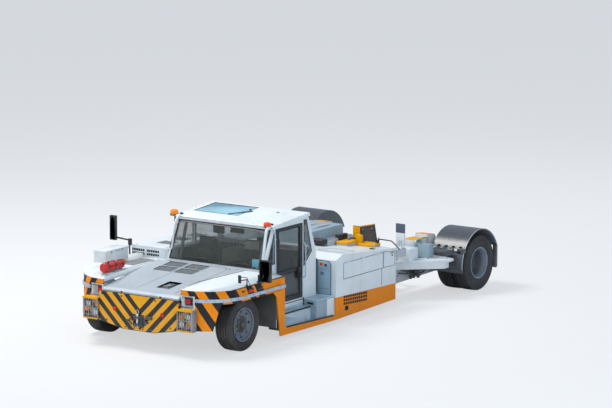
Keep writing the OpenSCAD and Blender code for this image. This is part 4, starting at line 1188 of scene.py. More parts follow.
def make_extinguishers():
    """Fire extinguishers with valves, hose and straps."""
    along = Vector((-math.sin(BOTTLE_TURN), math.cos(BOTTLE_TURN), 0.0))
    start = Vector(BOTTLE_AT)
    body = [(0.0, 0.0), (0.05, 0.004), (0.074, 0.016), (0.087, 0.04), (0.09, 0.06), (0.09, 0.36),
            (0.086, 0.39), (0.07, 0.415), (0.045, 0.428), (0.0, 0.43)]
    lathe(body, start, along, 40)
    second = [(0.0, 0.43), (0.05, 0.432), (0.068, 0.44), (0.074, 0.46), (0.074, 0.59), (0.066, 0.615),
              (0.045, 0.632), (0.026, 0.64), (0.0, 0.64)]
    lathe(second, start - Vector((0, 0, 0.01)), along, 40)
    red = piece("extinguisher_bottles", "red_paint")
    head = start + along * 0.64 - Vector((0, 0, 0.01))
    rod(head, head + along * 0.03, 0.024, 20, edge=0.003)
    rod(head + along * 0.03, head + along * 0.075, 0.014)
    block((head.x - 0.03, head.x + 0.012), (head.y + 0.035, head.y + 0.06),
          (head.z - 0.01, head.z + 0.045), 0.004)
    hose = [head + along * reach + Vector((0, 0, rise))
            for reach, rise in ((0.03, 0.0), (0.05, 0.05), (-0.06, 0.075), (-0.18, 0.08))]
    pipe(hose, 0.007, 10)
    for distance, radius in ((0.1, 0.0925), (0.3, 0.0925), (0.535, 0.0765)):
        centre = start + along * distance - Vector((0, 0, 0.01 if distance > 0.43 else 0.0))
        lathe([(radius - 0.004, -0.014), (radius, -0.013), (radius, 0.013), (radius - 0.004, 0.014)],
              centre, along, 40)
    block((start.x + 0.03, start.x + 0.06), (start.y + 0.095, start.y + 0.11),
          (start.z + 0.085, start.z + 0.12))
    dark = piece("extinguisher_straps", "black_plastic")
    for distance, half, top in ((0.285, 0.06, -0.03), (0.535, 0.05, -0.03)):
        place = start + along * distance
        block((place.x - half, place.x + half), (place.y - 0.016, place.y + 0.016),
              (1.1806, place.z + top), 0.004)
    feet = piece("extinguisher_saddles", "galvanised")
    tag = head + along * 0.02 + Vector((0, 0, 0.035))
    block((tag.x - 0.028, tag.x + 0.028), (tag.y - 0.004, tag.y + 0.004),
          (tag.z - 0.005, tag.z + 0.045), 0.001)
    lathe([(0.0, 0.012), (0.016, 0.012), (0.018, 0.0)], head + Vector((0.02, 0.03, 0.0)), SIDEWAYS, 20)
    tags = piece("extinguisher_tags", "yellow")
    for made in (red, dark, feet, tags):
        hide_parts("extinguishers")


# Cab: window outlines as Y and Z on the sides, in metres, as the solid has them
LEFT_WINDOWS = [
    [(-2.15, 1.29), (-1.92, 1.29), (-1.92, 1.85)],
    [(-1.02, 1.12), (-0.777, 1.346), (-0.938, 1.93), (-1.02, 1.93)],
]
RIGHT_WINDOWS = [
    [(-2.19, 1.4), (-1.5, 1.4), (-1.5, 1.86), (-1.98, 1.86)],
    [(-1.44, 1.4), (-0.72, 1.4), (-0.92, 1.9), (-1.44, 1.86)],
]
SCREEN = [(-2.266, 1.24), (-1.97, 1.876)]
REAR_SCREEN = [(-0.88, 1.9), (-0.655, 1.36)]
DOOR_PANES = [(0.64, 1.06), (1.11, 1.835)]
DOOR_PANE_Y = (-1.795, -1.145)


def make_windows():
    """Gaskets of the windows, then the roof pane, wipers, posts and roof trim."""
    gasket = settings()[0].gasket / 2
    for windows, x in ((LEFT_WINDOWS, CAB_LEFT + 0.001), (RIGHT_WINDOWS, CAB_RIGHT - 0.001)):
        for outline in windows:
            frame_round([(x, y, z) for y, z in outline], gasket * 0.7, 8)
    for ((low_y, low_z), (high_y, high_z)), off in ((SCREEN, -0.004), (REAR_SCREEN, 0.004)):
        frame_round([(CAB_RIGHT + 0.052, low_y + off, low_z), (CAB_LEFT - 0.052, low_y + off, low_z),
                     (CAB_LEFT - 0.052, high_y + off, high_z),
                     (CAB_RIGHT + 0.052, high_y + off, high_z)], gasket, 8)
    frame_round([(-0.68, -1.6, roof_height(-1.6)), (0.27, -1.6, roof_height(-1.6)),
                 (0.27, -0.96, roof_height(-0.96)), (-0.68, -0.96, roof_height(-0.96))], 0.005, 8)
    piece("window_gaskets", "gasket")
    make_roof_pane()
    make_wipers()
    make_posts()
    make_roof_trim()


def make_roof_pane():
    """Pale tinted pane in the roof."""
    prism([(-1.595, roof_height(-1.595) - 0.01), (-0.965, roof_height(-0.965) - 0.01),
           (-0.965, roof_height(-0.965) - 0.003), (-1.595, roof_height(-1.595) - 0.003)], "X",
          -0.675, 0.265, 0.001)
    piece("roof_pane", "roof_pane")


# Top skin of the roof, in the same way
ROOF_FRONT_Y = -1.97
ROOF_FRONT_Z = 1.962
ROOF_RISE = 0.088 / 1.09


def roof_height(y):
    """Height of the roof's top skin."""
    return ROOF_FRONT_Z + (y - ROOF_FRONT_Y) * ROOF_RISE


def screen_point(x, share, lift):
    """A point on the windscreen, from its lower to its upper edge, lifted off the glass."""
    (y0, z0), (y1, z1) = SCREEN
    length = math.hypot(y1 - y0, z1 - z0)
    return (x, y0 + (y1 - y0) * share - lift * (z1 - z0) / length + 0.01,
            z0 + (z1 - z0) * share + lift * (y1 - y0) / length)


WIPER_REACH = -0.4


def make_wipers():
    """Two windscreen wipers and the one on the roof window."""
    for x in (0.2, 1.1):
        base = screen_point(x, 0.02, 0.035)
        rod(screen_point(x, 0.02, 0.0), base, 0.012, 14)
        tip = screen_point(x + WIPER_REACH, 0.06, 0.028)
        pipe([base, screen_point(x + WIPER_REACH * 0.3, 0.05, 0.04), tip], 0.005, 8)
        for lift, radius, sides in ((0.016, 0.006, 8), (0.008, 0.004, 6)):
            rod(screen_point(x + WIPER_REACH * 1.6, 0.045, lift),
                screen_point(x + WIPER_REACH * 0.3, 0.075, lift), radius, sides)
    foot = Vector((0.24, -1.17, roof_height(-1.17) + 0.012))
    elbow = Vector((0.41, -1.39, roof_height(-1.39) + 0.02))
    rod(foot - Vector((0, 0, 0.012)), foot + Vector((0, 0, 0.006)), 0.018, 16, edge=0.002)
    pipe([foot, elbow - Vector((0.09, -0.13, 0.002)),
          Vector((0.22, -1.43, roof_height(-1.43) + 0.02))], 0.006, 8)
    rod((0.07, -1.61, roof_height(-1.61) + 0.012), (0.36, -1.26, roof_height(-1.26) + 0.012), 0.008, 8)
    piece("wipers", "black_plastic")


def make_posts():
    """White tubes in front of the cab with the two flashing beacons, and the grab rail by the door."""
    pipe([(-0.775, -2.2, 1.19), (-0.75, -2.2, 1.3), (-0.66, -2.17, 1.9), (-0.69, -2.05, 1.95),
          (-0.69, -1.96, 1.95)], 0.019)
    pipe([(1.245, -2.24, 1.22), (1.25, -2.22, 1.42), (1.285, -2.17, 1.93), (1.27, -2.05, 1.95),
          (1.24, -1.96, 1.95)], 0.026)
    for place in ((-0.775, -2.2, 1.2), (1.245, -2.24, 1.215)):
        cap(place, UP, 0.045, 0.016, 0.04)
    piece("front_tubes", "white")
    pipe([(CAB_LEFT + 0.006, -1.94, 0.98), (CAB_LEFT + 0.045, -1.94, 1.02),
          (CAB_LEFT + 0.045, -1.965, 1.85), (CAB_LEFT + 0.006, -1.965, 1.89)], 0.011)
    pipe([(CAB_LEFT + 0.004, -1.03, 0.9), (CAB_LEFT + 0.05, -1.03, 0.94), (CAB_LEFT + 0.05, -1.03, 1.5),
          (CAB_LEFT + 0.004, -1.03, 1.54)], 0.011)
    piece("grab_rails", "step_blue")
    lens_shape = [(0.045, 0.0), (0.047, 0.012), (0.045, 0.05), (0.038, 0.066), (0.02, 0.074), (0.0, 0.076)]
    foot_shape = [(0.0, 0.0), (0.05, 0.0), (0.052, 0.006), (0.05, 0.022), (0.04, 0.026), (0.0, 0.028)]
    # amber on the right corner and red on the left one
    lathe([(r * 1.6, z) for r, z in lens_shape], (-0.87, -1.93, 1.966), UP, 32)
    amber = piece("amber_beacon", "amber_lens")
    lathe([(r * 1.4, z * 0.9) for r, z in lens_shape], (1.225, -2.06, 1.972), UP, 32)
    red = piece("red_beacon", "beacon_red")
    lathe([(r * 1.55, z) for r, z in foot_shape], (-0.87, -1.93, 1.9385), UP, 32)
    lathe([(r * 1.3, z) for r, z in foot_shape], (1.225, -2.06, 1.9455), UP, 32)
    rod((1.225, -2.06, 1.93), (1.225, -2.06, 1.95), 0.03, 20)
    block((1.2, 1.29), (-2.1, -1.985), (1.925, 1.935), 0.002)
    block((-0.93, -0.792), (-1.97, -1.89), (1.925, 1.94))
    block((-0.865, -0.825), (-1.945, -1.915), (1.82, 1.935), 0.006)
    pipe([(-0.845, -1.93, 1.84), (-0.845, -1.93, 1.79), (-0.79, -1.93, 1.77)], 0.008)
    feet = piece("beacon_feet", "grey_plastic")
    for made in (amber, red, feet):
        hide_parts("lamps")


def make_roof_trim():
    """Rain strips, lifting eyes, a cap and bolts on the roof."""
    for x in (CAB_RIGHT - 0.014, CAB_LEFT + 0.032):
        rod((x, -1.985, 1.935), (x, -0.885, 2.025), 0.008, 8)
    rod((CAB_RIGHT - 0.012, -1.992, 1.945), (CAB_LEFT + 0.03, -1.992, 1.945), 0.007, 8)
    piece("roof_bead", "roof_white")
    for x in (-0.72, 1.22):
        block((x - 0.03, x + 0.03), (-1.93, -1.9),
              (roof_height(-1.92) - 0.002, roof_height(-1.92) + 0.028), 0.004)
    cap((0.8, -1.12, roof_height(-1.12) - 0.001), UP, 0.026, 0.012, 0.02, 20)
    piece("roof_fittings", "black_plastic")
    for i in range(7):
        x = -0.7 + i * 0.31
        bolt((x, -1.955, roof_height(-1.955)), (0, -0.08, 1), 0.006)
    for i in range(5):
        y = -1.86 + i * 0.22
        bolt((1.28, y, roof_height(y)), (0, -0.08, 1), 0.006)
        bolt((-0.76, y, roof_height(y)), (0, -0.08, 1), 0.006)
    piece("roof_bolts", "galvanised")


def make_door():
    """Slate lower panel, handle and seal of the cab door."""
    face = CAB_LEFT
    y0, y1 = DOOR_PANE_Y
    for low, high in DOOR_PANES:
        side_frame(face, (y0, y1), (low, high), 0.007, 8)
    piece("door_gaskets", "gasket", body="cab_door")
    low, high = DOOR_PANES[0]
    block((face - 0.034, face - 0.026), (y0 - 0.005, y1 + 0.005), (low - 0.005, high + 0.005), 0.002)
    piece("door_lower_panel", "slate", body="cab_door")
    # the near-black recess plate is painted shade, and the grip and lock are black parts
    block((face - 0.001, face + 0.006), (-1.26, -1.12), (0.93, 1.05), 0.004)
    pipe([(face + 0.004, -1.16, 1.02), (face + 0.03, -1.16, 1.01), (face + 0.03, -1.16, 0.96),
          (face + 0.004, -1.16, 0.95)], 0.007)
    lathe([(0.0, 0.008), (0.011, 0.008), (0.013, 0.0)], (face + 0.004, -1.225, 0.97), SIDEWAYS, 16)
    piece("door_handle", "gap_shade_and_black", body="cab_door")
    for z in (0.76, 1.24, 1.76):
        for step in (-0.018, 0.018):
            bolt((face + 0.0005, -1.875, z + step), SIDEWAYS, 0.006)
    piece("door_hinge_bolts", "galvanised", body="cab_door")


def make_seat():
    """Driver's seat on its pedestal, with cushions, armrests and a headrest."""
    back_turn = Matrix.Rotation(math.radians(-11.5), 3, "X")
    cushion((0.29, 0.75), (-1.6, -1.1), (0.85, 0.96), 0.35)
    cushion((0.3, 0.74), (-1.12, -1.01), (0.95, 1.53), 0.35, back_turn)
    cushion((0.4, 0.64), (-1.035, -0.955), (1.44, 1.57), 0.5, back_turn)
    pads = piece("seat_cushions", "seat_fabric")
    for x in (0.29, 0.75):
        block((x - 0.03, x + 0.03), (-1.5, -1.15), (1.12, 1.16), 0.015, 3)
        block((x - 0.015, x + 0.015), (-1.2, -1.14), (0.9, 1.13), 0.006)
    block((0.3, 0.74), (-1.58, -1.12), (0.82, 0.852), 0.008)
    prism([(0.4, 0.572), (0.64, 0.572), (0.6, 0.83), (0.44, 0.83)], "Y", -1.47, -1.23, 0.01)
    for i in range(5):
        block((0.395, 0.645), (-1.475, -1.225), (0.6 + i * 0.045, 0.615 + i * 0.045), 0.005)
    rest = piece("seat_frame", "black_plastic")
    for made in (pads, rest):
        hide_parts("seat")


def make_instruments():
    """Instrument cluster, levers, pedals, dials, camera screens, tray, lining and inner posts."""
    block((0.72, 1.05), (-2.03, -1.98), (1.5, 1.68), 0.01)
    pipe([(0.9, -2.0, 1.15), (0.9, -2.01, 1.35), (0.9, -2.005, 1.52)], 0.012)
    block((-0.66, -0.3), (-1.56, -1.4), (1.14, 1.3), 0.02)
    block((-0.64, -0.32), (-1.5, -1.44), (1.3, 1.53), 0.012)
    rod((-0.48, -1.47, 0.572), (-0.48, -1.47, 1.15), 0.03)
    block((0.5, 0.95), (-2.03, -1.98), (1.13, 1.24), 0.02)
    for i in range(4):
        rod((-0.1 + i * 0.075, -1.25, 1.328), (-0.1 + i * 0.075, -1.27, 1.42), 0.006, 8)
        ball((-0.1 + i * 0.075, -1.27, 1.43), 0.015, detail=6)
    for x in (0.4, 0.58):
        block((x, x + 0.09), (-2.02, -1.99), (0.62, 0.76), 0.01)
    for x in (-0.2, 0.2, 0.6):
        rod((x, -2.12, 1.175), (x, -2.14, 1.185), 0.03, 20)
    # camera screens hung below the roof
    block((-0.18, 0.05), (-1.72, -1.68), (1.66, 1.85), 0.01)
    block((0.12, 0.4), (-1.62, -1.57), (1.68, 1.83), 0.01)
    rod((-0.06, -1.7, 1.84), (-0.06, -1.7, 1.9), 0.014, 12)
    rod((0.26, -1.6, 1.82), (0.26, -1.6, 1.9), 0.014, 12)
    piece("cab_controls", "black_plastic")
    block((0.735, 1.035), (-2.034, -2.0295), (1.515, 1.665), 0.002)
    for x in (0.58, 0.72, 0.86):
        lathe([(0.0, 0.003), (0.045, 0.003), (0.048, 0.0)], (x, -1.979, 1.185), BACKWARD)
    piece("cab_dials", "grey_plastic")
    # the tray glows faintly cyan though it is no lamp: a painted glow
    block((0.94, 1.13), (-2.12, -2.04), (1.185, 1.36), 0.01)
    block((0.955, 1.115), (-2.125, -2.119), (1.2, 1.345))
    piece("dash_tray", "glowing_cyan_tray")
    block((-0.72, 1.22), (-0.76, -0.74), (0.59, 1.3), 0.006)
    block((-0.735, -0.728), (-2.0, -0.8), (0.6, 1.36), 0.002)
    for x in (-0.5, 0.0, 0.5, 1.0):
        block((x - 0.17, x + 0.17), (-0.775, -0.759), (0.7, 1.2), 0.006)
    piece("cab_lining", "olive")
    pipe([(-0.7, -2.03, 1.84), (-0.58, -2.02, 1.87), (0.9, -2.02, 1.87), (1.2, -2.03, 1.84)], 0.01)
    for x in (-0.585, 1.12):
        rod((x, -2.16, 1.2), (x, -1.95, 1.86), 0.028)
    piece("cab_inner_posts", "grey_plastic")


def make_mirrors():
    """Rounded mirror housings on their arms, with glass facing back."""
    prism([(1.575, 1.17), (1.6, 1.15), (1.76, 1.15), (1.8, 1.3), (1.8, 1.5), (1.78, 1.525), (1.6, 1.525),
           (1.575, 1.5)], "Y", -2.8, -2.742, 0.016, 4)
    pipe([(1.54, -2.77, 1.133), (1.54, -2.77, 1.25), (1.6, -2.77, 1.25)], 0.014)
    pipe([(1.56, -2.77, 1.16), (1.66, -2.81, 1.22), (1.66, -2.8, 1.28)], 0.008)
    cap((1.54, -2.77, 1.134), (0.1, 0, 1), 0.036, 0.014, 0.03, 20)
    block((1.495, 1.55), (-3.31, -3.292), (1.2, 1.335), 0.007, 3)
    pipe([(1.522, -3.293, 1.24), (1.56, -3.14, 1.24), (1.56, -3.14, 1.13)], 0.009)
    pipe([(1.522, -3.293, 1.3), (1.6, -3.2, 1.29), (1.6, -3.1, 1.13)], 0.006)
    cap((1.56, -3.14, 1.131), (0.25, 0, 1), 0.028, 0.012, 0.022, 20)
    prism([(-2.06, 1.5), (-2.045, 1.44), (-2.02, 1.42), (-1.95, 1.42), (-1.934, 1.44), (-1.93, 1.6),
           (-1.936, 1.76), (-1.95, 1.82), (-1.985, 1.86), (-2.02, 1.855), (-2.045, 1.81), (-2.058, 1.7)],
          "Y", -2.26, -2.21, 0.014, 4)
    pipe([(-1.64, -2.228, 1.06), (-1.64, -2.228, 1.45), (-1.935, -2.228, 1.47)], 0.013)
    block((-1.655, -1.611), (-2.243, -2.213), (1.055, 1.085), 0.004)
    block((-1.665, -1.6), (-2.25, -2.2), (1.36, 1.48), 0.012, 3)
    shells = piece("mirror_housings", "black_plastic")
    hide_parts("mirrors")
    prism([(1.59, 1.18), (1.61, 1.165), (1.75, 1.165), (1.787, 1.3), (1.787, 1.49), (1.77, 1.51),
           (1.61, 1.51), (1.59, 1.49)], "Y", -2.743, -2.738, 0.001)
    block((1.501, 1.544), (-3.2925, -3.289), (1.21, 1.325), 0.002)
    prism([(-2.048, 1.47), (-2.02, 1.435), (-1.95, 1.435), (-1.944, 1.46), (-1.952, 1.8), (-1.98, 1.845),
           (-2.02, 1.845), (-2.048, 1.8)], "Y", -2.211, -2.206, 0.001)
    block((1.515, 1.676), (1.636, 1.641), (1.35, 1.49), 0.002)
    piece("mirror_glasses", "mirror")


# Toolbox on the right fender and the engine cover behind it
def make_boxes():
    """Latches, handles and louvres of the toolbox and the engine cover."""
    for y in (-3.15, -2.83):
        block((-1.342, -1.33), (y - 0.02, y + 0.02), (1.36, 1.4))
    for x in (-1.56, -1.39):
        block((x - 0.012, x + 0.012), (-3.32, -3.3155), (1.3, 1.39), 0.002)
    piece("toolbox_catches", "white")
    for y in (-3.15, -2.83):
        block((-1.3385, -1.328), (y - 0.012, y + 0.012), (1.404, 1.425))
    pipe([(-1.338, -3.04, 1.42), (-1.318, -3.04, 1.42), (-1.318, -2.94, 1.42),
          (-1.338, -2.94, 1.42)], 0.006)
    piece("toolbox_handle", "galvanised", body="toolbox_lid")
    block((-1.6, -1.345), (-3.315, -2.66), (1.2, 1.2403), 0.004)
    piece("toolbox_base", "white")
    # near-black plates behind the louvre slots: painted shade
    for x in (-1.45, -1.13):
        for z in (1.17, 1.23):
            block((x, x + 0.23), (-2.187, -2.182), (z, z + 0.032), 0.0)
    for x in (-1.6, -1.28):
        for z in (1.212, 1.275):
            block((x, x + 0.27), (-2.2045, -2.2022), (z, z + 0.04), 0.001)
    piece("cover_slot_backs", "gap_shade_and_black", body="engine_cover")
    block((-1.606, -0.875), (-2.2021, -2.2002), (1.145, 1.335), 0.001)
    piece("cover_plate", "white", body="engine_cover")
    for x in (-1.6, -1.28):
        for z in (1.212, 1.275):
            for i in range(5):
                prism([(-2.2044, z), (-2.207, z + 0.008), (-2.207, z + 0.038), (-2.2044, z + 0.041)], "X",
                      x + 0.03 + i * 0.05, x + 0.037 + i * 0.05)
    for y in (-1.3, -0.6):
        pipe([(-1.611, y - 0.07, 1.2), (-1.635, y - 0.07, 1.2), (-1.635, y + 0.07, 1.2),
              (-1.611, y + 0.07, 1.2)], 0.008)
    piece("cover_handles", "white", body="engine_cover")
    # near-black strips for the vent slots: painted shade
    for y in (-1.7, -1.25, -0.8):
        for i in range(6):
            block((-1.35, -1.05), (y - 0.12 + i * 0.045, y - 0.1 + i * 0.045), (1.3702, 1.373), 0.001)
    piece("cover_vents", "gap_shade_and_black", body="engine_cover")
    for y in (-2.13, -0.36):
        for x in (-1.55, -0.88):
            bolt((x, y, 1.37), UP, 0.009)
    pipe([(-1.6, -2.19, 1.36), (-1.6, -0.32, 1.36)], 0.006)
    piece("cover_bolts", "galvanised", body="engine_cover")
    # exhaust outlet and filler on the body behind the cover
    pipe([(-1.2, 0.25, 1.36), (-1.2, 0.25, 1.44), (-1.27, 0.25, 1.47), (-1.34, 0.25, 1.47)], 0.045, 20)
    lathe([(0.0, 0.03), (0.05, 0.028), (0.056, 0.01), (0.07, 0.0)], (-1.05, 0.9, 1.37), UP, 28)
    for i in range(9):
        block((-1.612, -1.6095), (0.0 + i * 0.11, 0.07 + i * 0.11), (0.72, 1.0), 0.001)
    piece("exhaust_outlet", "dark_metal")
    for y, z in (((-0.15, 1.2), (0.55, 1.06)), ((-0.15, 1.2), (1.13, 1.34)), ((-2.0, -0.35), (0.55, 1.06))):
        side_frame(-SIDE_X - 0.0005, y, z, 0.003)
    piece("right_side_seams", "gasket")


def make_left_side():
    """Steps, control panel, grille and seams on the left side."""
    face = SIDE_X
    # near-black blocks for the grille's openings: painted shade
    for row in range(3):
        for i in range(11):
            y = -0.22 + i * 0.07
            z = 0.462 - row * 0.062 - i * 0.0035
            block((face - 0.001, face + 0.003), (y - 0.026, y + 0.026), (z - 0.022, z + 0.022), 0.002)
    block((face - 0.001, face + 0.006), (-0.2, -0.1), (0.21, 0.29), 0.004)
    piece("skirt_grille", "gap_shade_and_black")
    frame_round([(face, 1.05, 0.79), (face, 1.42, 0.78), (face, 1.42, 1.04), (face, 1.05, 1.075)], 0.0035)
    rod((face, 0.985, 0.48), (face, 0.985, 0.785), 0.0045, 6)
    side_frame(face - 0.001, (-0.25, 1.03), (0.785, 1.073), 0.005)
    piece("side_seams", "gasket")
    # strip between the body and the slanted top of the painted plate
    prism([(-0.49, SKIRT_TOP + 0.0195), (1.452, SKIRT_TOP - 0.03), (1.452, SKIRT_TOP + 0.022),
           (-0.49, SKIRT_TOP + 0.022)], "X", face - 0.02, face - 0.0005)
    piece("body_strip", "white")
    block((face, face + 0.004), (0.62, 0.74), (0.83, 0.87), 0.004)
    block((face + 0.001, face + 0.004), (-0.15, -0.05), (0.83, 0.87), 0.004)
    piece("service_latches", "white", body="service_door")
    # near-black slots: painted shade
    block((face - 0.001, face + 0.004), (1.27, 1.38), (1.015, 1.03))
    block((face - 0.001, face + 0.004), (1.31, 1.36), (0.965, 0.985))
    block((1.4, 1.5), (0.88, 0.95), (1.139, 1.146), 0.004)
    piece("side_slots", "gap_shade_and_black")
    make_steps()
    make_panel()


def make_steps():
    """Grip plates, nosings and the storage box's slot and lid seam."""
    block((1.2855, 1.304), (-2.08, -1.075), (0.4702, 0.562), 0.002)
    block((1.5853, 1.5885), (-0.74, -0.515), (0.185, 0.5), 0.001)
    piece("sill_riser", "white")
    block((1.31, 1.58), (-2.05, -1.08), (0.1802, 0.184), 0.001)
    block((1.31, 1.445), (-2.05, -1.08), (0.4202, 0.4225), 0.001)
    piece("step_grip", "grip_step")
    pipe([(1.452, -2.08, 0.42), (1.452, -1.07, 0.42)], 0.007)
    block((1.448, 1.4575), (-2.08, -1.07), (0.398, 0.4235), 0.002)
    pipe([(1.305, -2.08, 0.535), (1.305, -1.07, 0.535)], 0.008)
    block((1.287, 1.32), (-1.078, -1.0655), (0.4205, 0.562))
    prism([(-2.0, 0.2129), (-0.56, 0.1671), (-0.56, 0.193), (-2.0, 0.239)], "X", 1.588, 1.6085, 0.003)
    piece("step_edges", "gasket")
    # near-black slot: painted shade; the lid seam is a dark joint
    prism([(1.39, 0.452), (1.515, 0.446), (1.525, 0.462), (1.51, 0.482), (1.4, 0.488), (1.38, 0.472)], "Y",
          -1.0652, -1.0628, 0.001)
    frame_round([(1.295, -1.05, 0.505), (1.5845, -1.05, 0.505), (1.5845, -0.51, 0.505)], 0.003)
    piece("storage_slot", "gap_shade_and_black")
    # painted shade: darker blue sheets on the storage box's front and outer faces
    block((1.322, 1.5835), (-1.0626, -1.0602), (0.425, 0.526), 0.001)
    block((1.455, 1.5835), (-1.0626, -1.0602), (0.19, 0.424), 0.001)
    block((1.5853, 1.5877), (-1.057, -0.742), (0.19, 0.5), 0.001)
    piece("storage_shaded_faces", "step_painted_shade")
    for y in (-1.9, -1.6, -1.3):
        bolt((1.55, y, 0.184), UP, 0.008)
        bolt((1.33, y, 0.184), UP, 0.008)
    for z in (0.3, 0.6, 0.85):
        bolt((1.56, -2.0615, z), BACKWARD, 0.009)
    piece("step_bolts", "galvanised")


def make_panel():
    """Control panel with an emergency stop, a socket, keys and a conduit on the front of the side body."""
    y = -0.5
    # the panel's blue is painted shade: the colour of a pale panel in shade
    prism([(1.235, 0.535), (1.505, 0.535), (1.505, 1.08), (1.47, 1.125), (1.235, 1.125)], "Y", y - 0.014,
          y - 0.0005, 0.004, 3)
    block((1.26, 1.47), (y - 0.02, y - 0.013), (0.98, 1.105), 0.006, 3)
    piece("control_panel", "panel_shaded_blue")
    # the stop button takes the red lens with its faint glow: a painted glow
    lathe([(0.0, 0.034), (0.018, 0.033), (0.026, 0.026), (0.024, 0.018), (0.012, 0.014), (0.012, 0.0)],
          (1.325, y - 0.02, 1.075), FORWARD)
    piece("stop_button", "red_lens")
    lathe([(0.012, 0.006), (0.032, 0.005), (0.034, 0.0)], (1.325, y - 0.02, 1.075), FORWARD)
    block((1.37, 1.395), (y - 0.018, y - 0.013), (0.72, 0.75))
    piece("stop_ring", "yellow")
    lathe([(0.0, 0.012), (0.02, 0.012), (0.026, 0.004), (0.026, 0.0)], (1.41, y - 0.02, 1.06), FORWARD)
    for i in range(3):
        for j in range(2):
            block((1.3 + i * 0.024, 1.316 + i * 0.024), (y - 0.018, y - 0.013),
                  (0.88 + j * 0.03, 0.9 + j * 0.03))
    pipe([(1.16, y - 0.03, 0.56), (1.16, y - 0.03, 1.14)], 0.03)
    pipe([(1.2, y - 0.02, 0.56), (1.2, y - 0.02, 1.16)], 0.018)
    block((1.26, 1.49), (y - 0.016, y - 0.013), (0.63, 0.635), 0.001)
    frame_round([(1.228, y - 0.004, 0.53), (1.51, y - 0.004, 0.53), (1.51, y - 0.004, 1.082),
                 (1.473, y - 0.004, 1.13), (1.228, y - 0.004, 1.13)], 0.0055)
    piece("panel_fittings", "black_plastic")


# Deck behind the cab: Y and height of its front edge, and its fall for each metre
DECK_FRONT_Y = -0.28
DECK_FRONT_Z = 1.24
DECK_FALL = 0.16 / 1.733


def deck_height(y):
    """Height of the sloping deck behind the cab."""
    return DECK_FRONT_Z - (y - DECK_FRONT_Y) * DECK_FALL


def make_deck():
    """Covers, blocks, hoses and the post on the deck behind the cab."""
    cushion((-0.67, 0.49), (0.41, 1.46), (0.86, 1.425), 0.45)
    piece("deck_hump", "teal_paint")
    for x in (-0.4, -0.15, 0.12, 0.34):
        pipe([(x - 0.05, 0.5, 1.365), (x - 0.02, 0.7, 1.43), (x, 1.0, 1.44), (x - 0.02, 1.2, 1.42),
              (x - 0.03, 1.38, 1.36)], 0.022)
    block((-0.1, 0.3), (0.62, 0.7), (1.42, 1.452), 0.01)
    piece("hump_ribs", "deck_paint")
    block((0.46, 0.7), (0.42, 0.6), (1.2, 1.29), 0.02, 3)
    block((0.62, 0.7), (0.95, 1.25), (1.13, 1.3), 0.01)
    pipe([(1.28, 1.35, 1.09), (1.28, 1.35, 1.22), (1.34, 1.35, 1.235), (1.58, 1.35, 1.23),
          (1.66, 1.35, 1.17), (1.66, 1.5, 1.06)], 0.011)
    pipe([(1.22, 1.4, 1.145), (1.22, 1.4, 1.24)], 0.016)
    pipe([(1.26, 1.42, 1.08), (1.26, 1.42, 1.23), (1.3, 1.36, 1.25)], 0.012)
    for x in (0.1, 0.2, 0.3, -0.1):
        pipe([(x, 1.2, 1.1), (x + 0.03, 1.46, 1.09), (x + 0.04, 1.52, 0.95), (x + 0.04, 1.5, 0.75)], 0.014)
    pipe([(0.8, 1.1, 1.2), (0.84, 1.17, 1.24), (0.9, 1.26, 1.2), (0.94, 1.33, 1.12),
          (0.94, 1.35, 1.07)], 0.013)
    piece("deck_hoses", "black_plastic")
    block((0.704, 0.956), (0.844, 1.156), (1.165, 1.207), 0.01, 3)
    block((0.984, 1.296), (1.154, 1.43), (1.11, 1.152), 0.01, 3)
    block((0.9, 1.03), (1.2, 1.26), (1.1, 1.3), 0.008)
    block((0.72, 0.9), (1.36, 1.44), (1.09, 1.16), 0.008)
    piece("deck_yellow", "yellow")
    block((0.44, 0.68), (0.61, 1.05), (1.248, 1.256), 0.004)
    for x, y in ((0.46, 0.64), (0.66, 0.64), (0.46, 1.02), (0.66, 1.02)):
        bolt((x, y, 1.256), UP, 0.009)
    for x in (-0.6, 0.0, 0.6, 1.2):
        bolt((x, -0.15, deck_height(-0.15)), (0, 0.09, 1), 0.009)
    piece("deck_bolts", "galvanised")
    for x in (-0.55, 0.95):
        frame_round([(x, -0.1, deck_height(-0.1)), (x + 0.5, -0.1, deck_height(-0.1)),
                     (x + 0.5, 0.35, deck_height(0.35)), (x, 0.35, deck_height(0.35))], 0.003)
    piece("deck_seams", "gasket")
    # board on the corner post: dark above, white below
    block((1.503, 1.688), (1.617, 1.622), (1.105, 1.338))
    block((1.503, 1.688), (1.6385, 1.643), (1.105, 1.34))
    piece("corner_board", "white")
    block((1.5, 1.691), (1.614, 1.642), (1.34, 1.508), 0.006)
    piece("corner_board_glass", "slate")


# Bead round a rear fender: radius, first and last angle in degrees, and its lowest height
BEAD_R = 0.637
BEAD_TURN = (23, 190)
BEAD_LOW = 0.42
# Bolts on the front flange of a rear fender
FLANGE_BOLTS = (1.5, 1.655, 1.815, 1.97)


